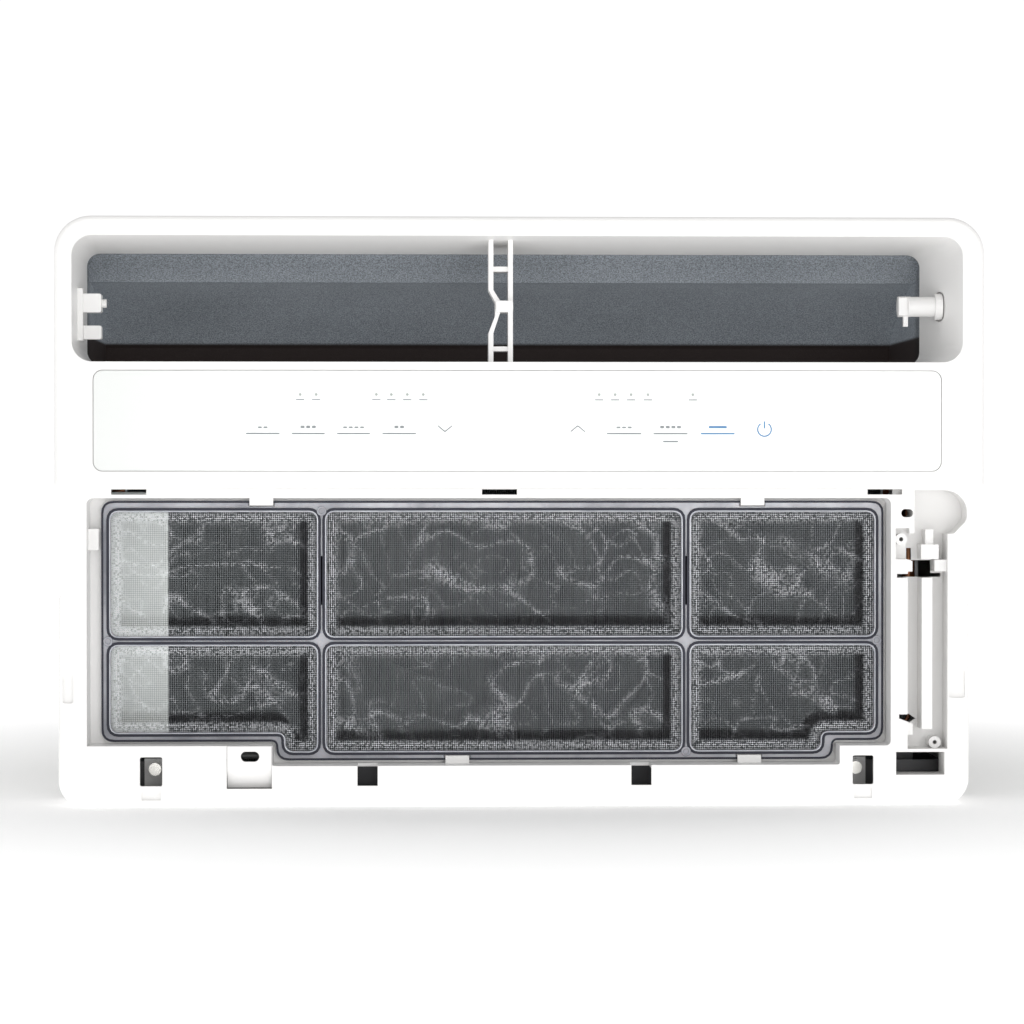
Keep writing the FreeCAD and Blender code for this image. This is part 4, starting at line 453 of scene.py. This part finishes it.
# ---------------------------------------------------------------- filter net
# Fine woven nylon net welded into each window of the filter frame. It is dished towards the coil and
# pulled into soft wrinkles. Its threads carry a painted glint, bright and glowing, on the dish walls and
# ridges, and a painted shade, thicker and near black, in a band inside the lower and right walls.
def net_shape(corners, radii):
    """Outline in millimetres, as a counter-clockwise polygon with each corner rounded by its radius."""
    points = []
    count = len(corners)
    for i in range(count):
        before, here, after = (Vector(corners[(i + k) % count]) for k in (-1, 0, 1))
        first = here + (before - here).normalized() * radii[i]
        last = here + (after - here).normalized() * radii[i]
        for step in range(5):
            t = step / 4
            points.append(tuple(first * (1 - t) ** 2 + here * 2 * t * (1 - t) + last * t ** 2))
    return points


def crossings(polygon, level, along_x):
    """Sorted places where a line at this level meets the outline."""
    places = []
    for (xa, za), (xb, zb) in zip(polygon, polygon[1:] + polygon[:1]):
        a, b, u, v = (za, zb, xa, xb) if along_x else (xa, xb, za, zb)
        if (a <= level) != (b <= level):
            places.append(u + (v - u) * (level - a) / (b - a))
    return sorted(places)


def edge_distance(polygon, x, z):
    """Distance in millimetres from a point to the outline."""
    nearest = 1e9
    for (xa, za), (xb, zb) in zip(polygon, polygon[1:] + polygon[:1]):
        u, v = xb - xa, zb - za
        t = max(0.0, min(1.0, ((x - xa) * u + (z - za) * v) / (u * u + v * v)))
        nearest = min(nearest, math.hypot(x - xa - u * t, z - za - v * t))
    return nearest


wall_width = 8.0
weld_depth = 47.6
dish_depth = 5.4


def net_point(polygon, x, z):
    """Depth of the net in millimetres, its painted glint and its painted shade: a shallow dish with
    wrinkles.
    """
    away = edge_distance(polygon, x, z)
    inset = min(1.0, away / wall_width)
    dish = inset * inset * (3 - 2 * inset)
    wide = noise.noise(Vector((x * 0.030, z * 0.034, 3.1)))
    fold = max(0.0, 1 - abs(noise.noise(Vector((x * 0.030 + wide, z * 0.042 - wide, 7.7)))) * 5.5)
    crease = max(0.0, 1 - abs(noise.noise(Vector((x * 0.062 - wide, z * 0.070 + wide, 1.3)))) * 7.5)
    depth = weld_depth + dish * (dish_depth + 0.8 * wide - 1.2 * fold ** 2 - 0.5 * crease ** 2)
    # Painted highlight: threads on the dish wall and along the wrinkle ridges get a glint value.
    border = max(0.0, 1 - abs(inset - 0.42) / 0.60)
    ridge = inset ** 3 * (0.7 * fold ** 3 + 0.5 * crease ** 3)
    # Painted shade: a band a few millimetres inside the lower and right walls gets a shade value.
    lower_right = edge_distance(polygon, x + 3.6, z - 4.4) + 1.2 * wide
    shade = max(0.0, min(1.0, (away - 4.6) / 1.4)) * max(0.0, min(1.0, (8.2 - lower_right) / 1.6))
    return depth, min(1.0, border * (1.0 - shade) + ridge * (1.0 - 0.5 * shade)), shade


def net_tree():
    """Geometry nodes: every edge chain becomes a thin three-sided thread of the given radius."""
    tree = bpy.data.node_groups.new("woven_threads", "GeometryNodeTree")
    group_socket(tree, "Geometry", "NodeSocketGeometry")
    group_socket(tree, "Thread Radius", "NodeSocketFloat", 0.00011)
    group_socket(tree, "Material", "NodeSocketMaterial")
    group_socket(tree, "Geometry", "NodeSocketGeometry", output=True)
    given = tree.nodes.new("NodeGroupInput").outputs
    chain = tree.nodes.new("GeometryNodeMeshToCurve")
    profile = tree.nodes.new("GeometryNodeCurvePrimitiveCircle")
    profile.inputs["Resolution"].default_value = 3
    sweep = tree.nodes.new("GeometryNodeCurveToMesh")
    # Threads swell where they carry painted glint, and much more where they carry painted shade, so
    # these bands read brighter and darker.
    swell = None
    for attribute, growth in (("glint", 1.1), ("shade", 3.2)):
        read = tree.nodes.new("GeometryNodeInputNamedAttribute")
        read.data_type = "FLOAT"
        read.inputs["Name"].default_value = attribute
        wider = tree.nodes.new("ShaderNodeMath")
        wider.operation = "MULTIPLY_ADD"
        wider.inputs[1].default_value = growth
        wider.inputs[2].default_value = 1.0
        wire(tree, read.outputs["Attribute"], wider.inputs[0])
        if swell:
            wire(tree, swell.outputs[0], wider.inputs[2])
        swell = wider
    thicken = tree.nodes.new("GeometryNodeSetCurveRadius")
    wire(tree, swell.outputs[0], thicken.inputs["Radius"])
    realize = tree.nodes.new("GeometryNodeRealizeInstances")
    paint = tree.nodes.new("GeometryNodeSetMaterial")
    wire(tree, given["Geometry"], chain.inputs["Mesh"])
    wire(tree, given["Thread Radius"], profile.inputs["Radius"])
    wire(tree, chain.outputs["Curve"], thicken.inputs["Curve"])
    wire(tree, thicken.outputs["Curve"], sweep.inputs["Curve"])
    wire(tree, profile.outputs["Curve"], sweep.inputs["Profile Curve"])
    wire(tree, sweep.outputs["Mesh"], realize.inputs["Geometry"])
    wire(tree, realize.outputs["Geometry"], paint.inputs["Geometry"])
    wire(tree, given["Material"], paint.inputs["Material"])
    wire(tree, paint.outputs["Geometry"], tree.nodes.new("NodeGroupOutput").inputs["Geometry"])
    return tree


def evaluated(name, mesh, tree, values):
    """One plain mesh object: the tree run on the mesh, with its named inputs set first."""
    source = bpy.data.objects.new(name + "_source", mesh)
    bpy.context.scene.collection.objects.link(source)
    modifier = source.modifiers.new("shape", "NODES")
    modifier.node_group = tree
    for item in tree.interface.items_tree:
        if item.in_out == "INPUT" and item.name in values:
            modifier[item.identifier] = values[item.name]
    graph = bpy.context.evaluated_depsgraph_get()
    result = bpy.data.meshes.new_from_object(source.evaluated_get(graph), depsgraph=graph)
    result.name = name
    made = bpy.data.objects.new(name, result)
    bpy.context.scene.collection.objects.link(made)
    bpy.data.objects.remove(source)
    return made


net_material = finish_material(
    "filter_net", (0.25, 0.275, 0.285), (0.17, 0.19, 0.20), mottle_scale=55.0, mottle=0.9,
    grain_scale=600.0, grain=0.1, roughness=0.28, roughness_spread=0.25, edge_radius=0.0,
    dust=0.06, sheen_weight=0.3, sheen_roughness=0.4)
net_shader_tree = net_material.node_tree
net_shader = net_shader_tree.nodes["Principled BSDF"]
# Painted highlight: where the glint value meets a fine sparkle noise, threads are painted near white and
# glow at up to 0.62.
glint_amount = net_shader_tree.nodes.new("ShaderNodeAttribute")
glint_amount.attribute_name = "glint"
net_place = net_shader_tree.nodes.new("ShaderNodeTexCoord").outputs["Object"]
sparkle = net_shader_tree.nodes.new("ShaderNodeMapRange")
sparkle.inputs["From Min"].default_value = 0.40
sparkle.inputs["From Max"].default_value = 0.52
wire(net_shader_tree, noise_value(net_shader_tree, net_place, 620.0, 1.0), sparkle.inputs["Value"])
painted_glint_mask = arithmetic(net_shader_tree, "MULTIPLY", sparkle.outputs["Result"],
                        glint_amount.outputs["Fac"], clamp=True)
plain_colour = net_shader.inputs["Base Color"].links[0].from_socket
glint_colour = mix_colour(net_shader_tree, painted_glint_mask, plain_colour, (0.93, 0.93, 0.94, 1.0))
# Painted shade: the shade value paints threads near black, except where they carry painted glint.
shade_amount = net_shader_tree.nodes.new("ShaderNodeAttribute")
shade_amount.attribute_name = "shade"
net_painted_shade = arithmetic(net_shader_tree, "SUBTRACT", shade_amount.outputs["Fac"], painted_glint_mask, clamp=True)
net_colour = mix_colour(net_shader_tree, net_painted_shade, glint_colour, (0.012, 0.010, 0.014, 1.0))
wire(net_shader_tree, net_colour, net_shader.inputs["Base Color"])
painted_glint_glow = arithmetic(net_shader_tree, "MULTIPLY", painted_glint_mask, 0.62)
net_shader.inputs["Emission Color"].default_value = (0.92, 0.94, 1.0, 1.0)
wire(net_shader_tree, painted_glint_glow, net_shader.inputs["Emission Strength"])
net_windows = {
    "left_upper": [(-250.0, 102.67), (-124.0, 102.67), (-124.0, 178.8), (-250.0, 178.8)],
    "middle_upper": [(-118.0, 102.67), (100.1, 102.67), (100.1, 178.8), (-118.0, 178.8)],
    "right_upper": [(106.1, 102.67), (219.4, 102.67), (219.4, 178.8), (106.1, 178.8)],
    "left_lower": [(-250.0, 43.7), (-143.2, 43.7), (-143.2, 32.1), (-124.0, 32.1),
                   (-124.0, 96.67), (-250.0, 96.67)],
    "middle_lower": [(-118.0, 32.1), (100.1, 32.1), (100.1, 96.67), (-118.0, 96.67)],
    "right_lower": [(106.1, 32.1), (186.2, 32.1), (186.2, 43.7), (219.4, 43.7),
                    (219.4, 96.67), (106.1, 96.67)],
}
thread_pitch = 1.15
thread_step = 2.3
thread_radius = 0.00011
weave_depth = 0.12
threads = net_tree()
for window, corners in net_windows.items():
    polygon = net_shape(corners, [4.5] * len(corners))
    points = []
    edges = []
    glints = []
    shades = []
    for along_x in (True, False):
        low = min(p[1 if along_x else 0] for p in polygon)
        high = max(p[1 if along_x else 0] for p in polygon)
        lines = int((high - low) / thread_pitch)
        for line in range(lines):
            level = low + (line + 0.5) * (high - low) / lines
            ends = crossings(polygon, level, along_x)
            for start, end in zip(ends[::2], ends[1::2]):
                steps = max(2, round((end - start) / thread_step))
                for step in range(steps + 1):
                    at = start + (end - start) * step / steps
                    x, z = (at, level) if along_x else (level, at)
                    depth, glint, shade = net_point(polygon, x, z)
                    depth += weave_depth if along_x else -weave_depth
                    glints.append(glint)
                    shades.append(shade)
                    if step:
                        edges.append((len(points) - 1, len(points)))
                    points.append((x / 1000, cad_box[0][1] + depth / 1000, z / 1000))
    mesh = bpy.data.meshes.new("net_lines_" + window)
    mesh.from_pydata(points, edges, [])
    mesh.attributes.new("glint", "FLOAT", "POINT").data.foreach_set("value", glints)
    mesh.attributes.new("shade", "FLOAT", "POINT").data.foreach_set("value", shades)
    net = evaluated("filter_net_" + window, mesh, threads,
                    {"Thread Radius": thread_radius, "Material": net_material})
    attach(net, "filter")
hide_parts("filter_mesh")


# ---------------------------------------------------------------- rims and grooves of the filter frame
# Each window of the filter frame has a polished rim where the net is welded in, and a groove runs round
# that rim. Both are thin bands on the frame's face: the rim band is painted light as a painted
# highlight, and the groove band and a band along the frame's border are painted near black as painted
# shade. All belong to its moulding.
def grown(polygon, offset):
    """Outline moved outwards by this many millimetres."""
    result = []
    count = len(polygon)
    for i in range(count):
        before, here, after = (Vector(polygon[(i + k) % count]) for k in (-1, 0, 1))
        along = ((here - before).normalized() + (after - here).normalized()).normalized()
        result.append((here.x + along.y * offset, here.y - along.x * offset))
    return result


def rim_mesh(name, outlines, profile, material):
    """Closed bands round the outlines; the profile lists (offset, depth) pairs in millimetres."""
    build = bmesh.new()
    for outline in outlines:
        rings = [[build.verts.new((x / 1000, cad_box[0][1] + depth / 1000, z / 1000))
                  for x, z in grown(outline, offset)] for offset, depth in profile]
        for a, b in zip(rings, rings[1:] + rings[:1]):
            for i in range(len(outline)):
                j = (i + 1) % len(outline)
                build.faces.new((a[i], a[j], b[j], b[i]))
    bmesh.ops.recalc_face_normals(build, faces=build.faces)
    mesh = bpy.data.meshes.new(name)
    build.to_mesh(mesh)
    build.free()
    mesh.materials.append(material)
    rim = bpy.data.objects.new(name, mesh)
    bpy.context.scene.collection.objects.link(rim)
    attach(rim, "filter")


rim_front = (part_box("filter_frame")[0].y - cad_box[0][1]) * 1000
# Painted highlight: the rim band is lighter than the frame's plastic.
rim_painted_highlight = finish_material(
    "filter_rim_painted_highlight", (0.56, 0.58, 0.62), (0.34, 0.36, 0.41), mottle_scale=90.0, mottle=0.9,
    grain_scale=900.0, grain=0.06, roughness=0.2, roughness_spread=0.2, edge_radius=0.0, dust=0.05,
    coat_weight=0.6, coat_roughness=0.1)
# Painted shade: the groove band is near black, standing in for the shade in the groove.
groove_painted_shade = finish_material(
    "filter_groove_painted_shade", (0.010, 0.011, 0.022), (0.020, 0.021, 0.036), mottle_scale=60.0, mottle=0.8,
    grain_scale=900.0, grain=0.08, roughness=0.6, edge_radius=0.0, dust=0.0)
window_outlines = [net_shape(corners, [5.0] * len(corners)) for corners in net_windows.values()]
rim_mesh("filter_rims", window_outlines,
         [(0.25, rim_front + 1.2), (0.3, rim_front + 0.04), (0.55, rim_front + 0.01),
          (0.8, rim_front + 0.04), (0.85, rim_front + 1.2)], rim_painted_highlight)
rim_mesh("filter_grooves", window_outlines,
         [(0.9, rim_front + 0.9), (0.95, rim_front + 0.03), (2.55, rim_front + 0.03),
          (2.6, rim_front + 0.9)], groove_painted_shade)
frame_low, frame_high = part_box("filter_frame")
x_low, z_low = frame_low.x * 1000, frame_low.z * 1000
x_high, z_high = frame_high.x * 1000, frame_high.z * 1000
step_high = 37.9
step_left, step_right = -149.0, 194.0
border = [(x_low, step_high), (step_left, step_high), (step_left, z_low), (step_right, z_low),
          (step_right, step_high), (x_high, step_high), (x_high, z_high), (x_low, z_high)]
border_radii = [8.0, 3.0, 8.0, 8.0, 3.0, 8.0, 8.0, 8.0]
# Painted shade: the band along the frame's border is near black as well.
rim_mesh("filter_border", [net_shape(border, border_radii)],
         [(-1.4, rim_front + 0.9), (-1.35, rim_front + 0.55), (-0.15, rim_front + 0.60),
          (-0.1, rim_front + 2.5)], groove_painted_shade)


# ---------------------------------------------------------------- coils: fins, bends and end plates
# Thin aluminium fins pressed over copper tubes, one plate every 1.4 mm, each folded in shallow waves
# so that it is stiff. The room-side fins are coated dark grey and the outdoor ones are bare.
def fin_tree():
    """Geometry nodes: copies of one folded fin along X, joined to one mesh."""
    tree = bpy.data.node_groups.new("fin_stack", "GeometryNodeTree")
    group_socket(tree, "Geometry", "NodeSocketGeometry")
    group_socket(tree, "Count", "NodeSocketInt", 100)
    group_socket(tree, "Start", "NodeSocketVector")
    group_socket(tree, "End", "NodeSocketVector")
    group_socket(tree, "Material", "NodeSocketMaterial")
    group_socket(tree, "Geometry", "NodeSocketGeometry", output=True)
    given = tree.nodes.new("NodeGroupInput").outputs
    line = tree.nodes.new("GeometryNodeMeshLine")
    line.mode = "END_POINTS"
    copies = tree.nodes.new("GeometryNodeInstanceOnPoints")
    realize = tree.nodes.new("GeometryNodeRealizeInstances")
    paint = tree.nodes.new("GeometryNodeSetMaterial")
    wire(tree, given["Count"], line.inputs["Count"])
    wire(tree, given["Start"], line.inputs["Start Location"])
    wire(tree, given["End"], line.inputs["Offset"])
    wire(tree, line.outputs["Mesh"], copies.inputs["Points"])
    wire(tree, given["Geometry"], copies.inputs["Instance"])
    wire(tree, copies.outputs["Instances"], realize.inputs["Geometry"])
    wire(tree, realize.outputs["Geometry"], paint.inputs["Geometry"])
    wire(tree, given["Material"], paint.inputs["Material"])
    wire(tree, paint.outputs["Geometry"], tree.nodes.new("NodeGroupOutput").inputs["Geometry"])
    return tree


fin_stack = fin_tree()
fin_pitch = 0.0014


def fin_coil(node, material, wave):
    """Stack of folded fins that fills a coil node's box."""
    low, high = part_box(node)
    folds = 8
    thick = 0.00016
    mesh = bpy.data.meshes.new(node + "_fin")
    build = bmesh.new()
    rows = []
    for i in range(folds + 1):
        y = low.y + (high.y - low.y) * i / folds
        bend = wave * (i % 2)
        rows.append([build.verts.new((bend + side * thick, y, z))
                     for side, z in ((0, low.z), (0, high.z), (1, high.z), (1, low.z))])
    for a, b in zip(rows, rows[1:]):
        for k in range(4):
            build.faces.new((a[k], a[(k + 1) % 4], b[(k + 1) % 4], b[k]))
    build.faces.new(rows[0][::-1])
    build.faces.new(rows[-1])
    bmesh.ops.recalc_face_normals(build, faces=build.faces)
    build.to_mesh(mesh)
    build.free()
    room = high.x - low.x - thick - wave
    count = int(room / fin_pitch) + 1
    stack = evaluated(node + "_stack", mesh, fin_stack,
                      {"Count": count, "Start": (low.x, 0.0, 0.0), "End": (low.x + room, 0.0, 0.0),
                       "Material": material})
    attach(stack, "chassis")
    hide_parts(node)


room_fins = finish_material(
    "coated_fins", (0.135, 0.150, 0.158), (0.095, 0.108, 0.115), mottle_scale=30.0, mottle=0.8,
    grain_scale=700.0, grain=0.1, roughness=0.45, edge_radius=0.0, dust=0.3, metallic=0.35)
outdoor_fins = finish_material(
    "bare_fins", (0.62, 0.63, 0.64), (0.50, 0.51, 0.52), mottle_scale=30.0, mottle=0.8,
    grain_scale=700.0, grain=0.1, roughness=0.4, edge_radius=0.0, dust=0.25, metallic=0.9)
fin_coil("evaporator_fins", room_fins, 0.0004)
fin_coil("condenser_fins", outdoor_fins, 0.0004)
copper = finish_material(
    "copper_tube", (0.42, 0.19, 0.10), (0.24, 0.10, 0.06), mottle_scale=60.0, mottle=0.8,
    grain_scale=900.0, grain=0.08, roughness=0.32, roughness_spread=0.3, edge_radius=0.0003,
    edge_color=(0.60, 0.32, 0.20), edge_wear=0.5, dust=0.06, metallic=0.95)
dress(copper, "evaporator_bends", "condenser_bends", "suction_pipe", "discharge_pipe", "liquid_pipe",
      "accumulator_outlet", "filter_drier", "capillary_tube", "coil_sensor")


# ---------------------------------------------------------------- zinc-coated steelwork
# Folded 1 mm galvanised sheet with its soft spangle: end plates, partition, boxes and straps. The
# base pan is the same sheet under a coat of dark baked paint.
zinc = finish_material(
    "galvanised_sheet", (0.56, 0.57, 0.585), (0.42, 0.43, 0.45), mottle_scale=75.0, mottle=0.9,
    grain_scale=500.0, grain=0.06, roughness=0.42, roughness_spread=0.35, edge_radius=0.0005,
    edge_color=(0.75, 0.76, 0.78), edge_wear=0.8, dust=0.15, metallic=0.85)
dress(zinc, "evaporator_plates", "condenser_plates", "motor_bracket", "bulkhead", "control_box",
      "control_cover", "capacitor_strap")
pan_paint = finish_material(
    "pan_paint", (0.070, 0.070, 0.075), (0.045, 0.045, 0.050), mottle_scale=16.0, mottle=0.7,
    grain_scale=450.0, grain=0.25, roughness=0.5, roughness_spread=0.2, edge_radius=0.0005,
    edge_color=(0.22, 0.22, 0.22), edge_wear=0.8, dust=0.2)
dress(pan_paint, "base_pan")


# ---------------------------------------------------------------- painted cabinet and rear guard
# Powder-coated steel cover in pale grey with the fine orange-peel skin of baked paint, scuffed along
# its folds and slot edges.
cabinet_paint = finish_material(
    "cabinet_paint", (0.62, 0.62, 0.60), (0.57, 0.57, 0.55), mottle_scale=10.0, mottle=0.5,
    grain_scale=420.0, grain=0.30, roughness=0.46, roughness_spread=0.15, edge_radius=0.0006,
    edge_color=(0.74, 0.74, 0.73), edge_wear=0.6, dust=0.10, coat_weight=0.15, coat_roughness=0.3)
dress(cabinet_paint, "cabinet", "cabinet_left_side", "cabinet_right_side", "rear_grille")


# ---------------------------------------------------------------- foam parts
# The sealing strip beside the coil is pale closed-cell foam, and the drain pan under the coil is
# moulded from dark expanded beads.
def foam_material(name, colour, second, bead):
    """Beaded foam: round cells seen in relief."""
    made = finish_material(name, colour, second, mottle_scale=20.0, mottle=0.5, grain=0.2,
                           grain_scale=700.0, roughness=0.85, edge_radius=0.0008,
                           edge_color=colour, dust=0.1)
    tree = made.node_tree
    cells = tree.nodes.new("ShaderNodeTexVoronoi")
    cells.inputs["Scale"].default_value = bead
    wire(tree, tree.nodes.new("ShaderNodeTexCoord").outputs["Object"], cells.inputs["Vector"])
    relief = tree.nodes.new("ShaderNodeBump")
    relief.inputs["Strength"].default_value = 0.35
    relief.inputs["Distance"].default_value = 0.0006
    relief.invert = True
    wire(tree, cells.outputs["Distance"], relief.inputs["Height"])
    shader = tree.nodes["Principled BSDF"]
    wire(tree, shader.inputs["Normal"].links[0].from_socket, relief.inputs["Normal"])
    wire(tree, relief.outputs["Normal"], shader.inputs["Normal"])
    return made


dress(foam_material("pale_foam", (0.88, 0.91, 0.89), (0.83, 0.86, 0.84), 420.0), "foam_strip")
dress(foam_material("dark_foam", (0.050, 0.050, 0.052), (0.075, 0.075, 0.078), 260.0), "drain_pan")


# ---------------------------------------------------------------- fans, scroll and shroud
# The centrifugal wheel and axial fan are black moulded plastic and the scroll and shroud are grey
# polypropylene; air-borne dust has settled along them.
fan_plastic = finish_material(
    "fan_plastic", (0.16, 0.165, 0.17), (0.11, 0.115, 0.12), mottle_scale=25.0, mottle=0.6,
    grain_scale=900.0, grain=0.12, roughness=0.4, roughness_spread=0.2, edge_radius=0.0006,
    edge_color=(0.26, 0.265, 0.27), edge_wear=0.6, dust=0.25)
scroll_plastic = finish_material(
    "scroll_plastic", (0.30, 0.31, 0.32), (0.24, 0.25, 0.26), mottle_scale=14.0, mottle=0.5,
    grain_scale=900.0, grain=0.12, roughness=0.5, roughness_spread=0.2, edge_radius=0.0008,
    edge_color=(0.42, 0.43, 0.44), edge_wear=0.4, dust=0.2)
dress(fan_plastic, "blower_wheel", "condenser_fan")
dress(scroll_plastic, "blower_scroll", "fan_shroud", "shroud_walls")


# ---------------------------------------------------------------- motor, compressor and steel parts
# The motor shell is dipped in grey enamel, the compressor and its accumulator are enamelled black, and
# the shafts, nuts and screws are bright plated steel.
motor_steel = finish_material(
    "motor_steel", (0.16, 0.17, 0.18), (0.11, 0.12, 0.13), mottle_scale=40.0, mottle=0.7,
    grain_scale=500.0, grain=0.08, roughness=0.38, roughness_spread=0.25, edge_radius=0.0008,
    edge_color=(0.45, 0.45, 0.45), edge_wear=0.7, dust=0.15, coat_weight=0.3, coat_roughness=0.2)
black_enamel = finish_material(
    "black_enamel", (0.022, 0.022, 0.024), (0.035, 0.035, 0.036), mottle_scale=18.0, mottle=0.6,
    grain_scale=380.0, grain=0.25, roughness=0.35, roughness_spread=0.2, edge_radius=0.0015,
    edge_color=(0.12, 0.12, 0.12), edge_wear=0.6, dust=0.25, coat_weight=0.3, coat_roughness=0.2)
plated_steel = finish_material(
    "plated_steel", (0.66, 0.65, 0.62), (0.50, 0.49, 0.46), mottle_scale=220.0, mottle=0.7,
    grain_scale=1500.0, grain=0.05, roughness=0.28, roughness_spread=0.2, edge_radius=0.0003,
    edge_color=(0.8, 0.8, 0.78), edge_wear=0.8, dust=0.06, metallic=1.0)
dress(motor_steel, "fan_motor")
dress(black_enamel, "compressor", "accumulator")
dress(plated_steel, "motor_shaft", "shaft_nuts", "motor_screws", "cabinet_screws", "frame_screws",
      "compressor_bolts")


# ---------------------------------------------------------------- rubber, black plastic and electrics
# Rubber feet, plug and grommet; the terminal cover and sensor; the circuit boards and run capacitor.
rubber = finish_material(
    "rubber", (0.020, 0.020, 0.020), (0.032, 0.032, 0.031), mottle_scale=60.0, mottle=0.6,
    grain_scale=900.0, grain=0.3, roughness=0.7, edge_radius=0.0006, edge_color=(0.07, 0.07, 0.07),
    edge_wear=0.5, dust=0.2)
black_plastic = finish_material(
    "black_plastic", (0.018, 0.018, 0.019), (0.028, 0.028, 0.03), mottle_scale=40.0, mottle=0.5,
    grain_scale=1200.0, grain=0.15, roughness=0.4, edge_radius=0.0004, edge_color=(0.08, 0.08, 0.08),
    edge_wear=0.5, dust=0.12)
board_green = finish_material(
    "board_green", (0.020, 0.115, 0.055), (0.030, 0.150, 0.075), mottle_scale=420.0, mottle=0.9,
    grain_scale=900.0, grain=0.1, roughness=0.35, edge_radius=0.0002, edge_color=(0.35, 0.32, 0.18),
    edge_wear=0.8, dust=0.08, coat_weight=0.4, coat_roughness=0.15)
capacitor_can = finish_material(
    "capacitor_can", (0.60, 0.61, 0.62), (0.52, 0.53, 0.54), mottle_scale=90.0, mottle=0.5,
    grain_scale=900.0, grain=0.05, roughness=0.3, edge_radius=0.0006, edge_color=(0.8, 0.8, 0.8),
    edge_wear=0.6, dust=0.08, metallic=1.0)
dress(rubber, "compressor_feet", "drain_plug", "power_inlet")
dress(black_plastic, "terminal_cover", "room_sensor", "vane_motor")
dress(board_green, "control_board", "power_relay_board")
dress(capacitor_can, "run_capacitor")
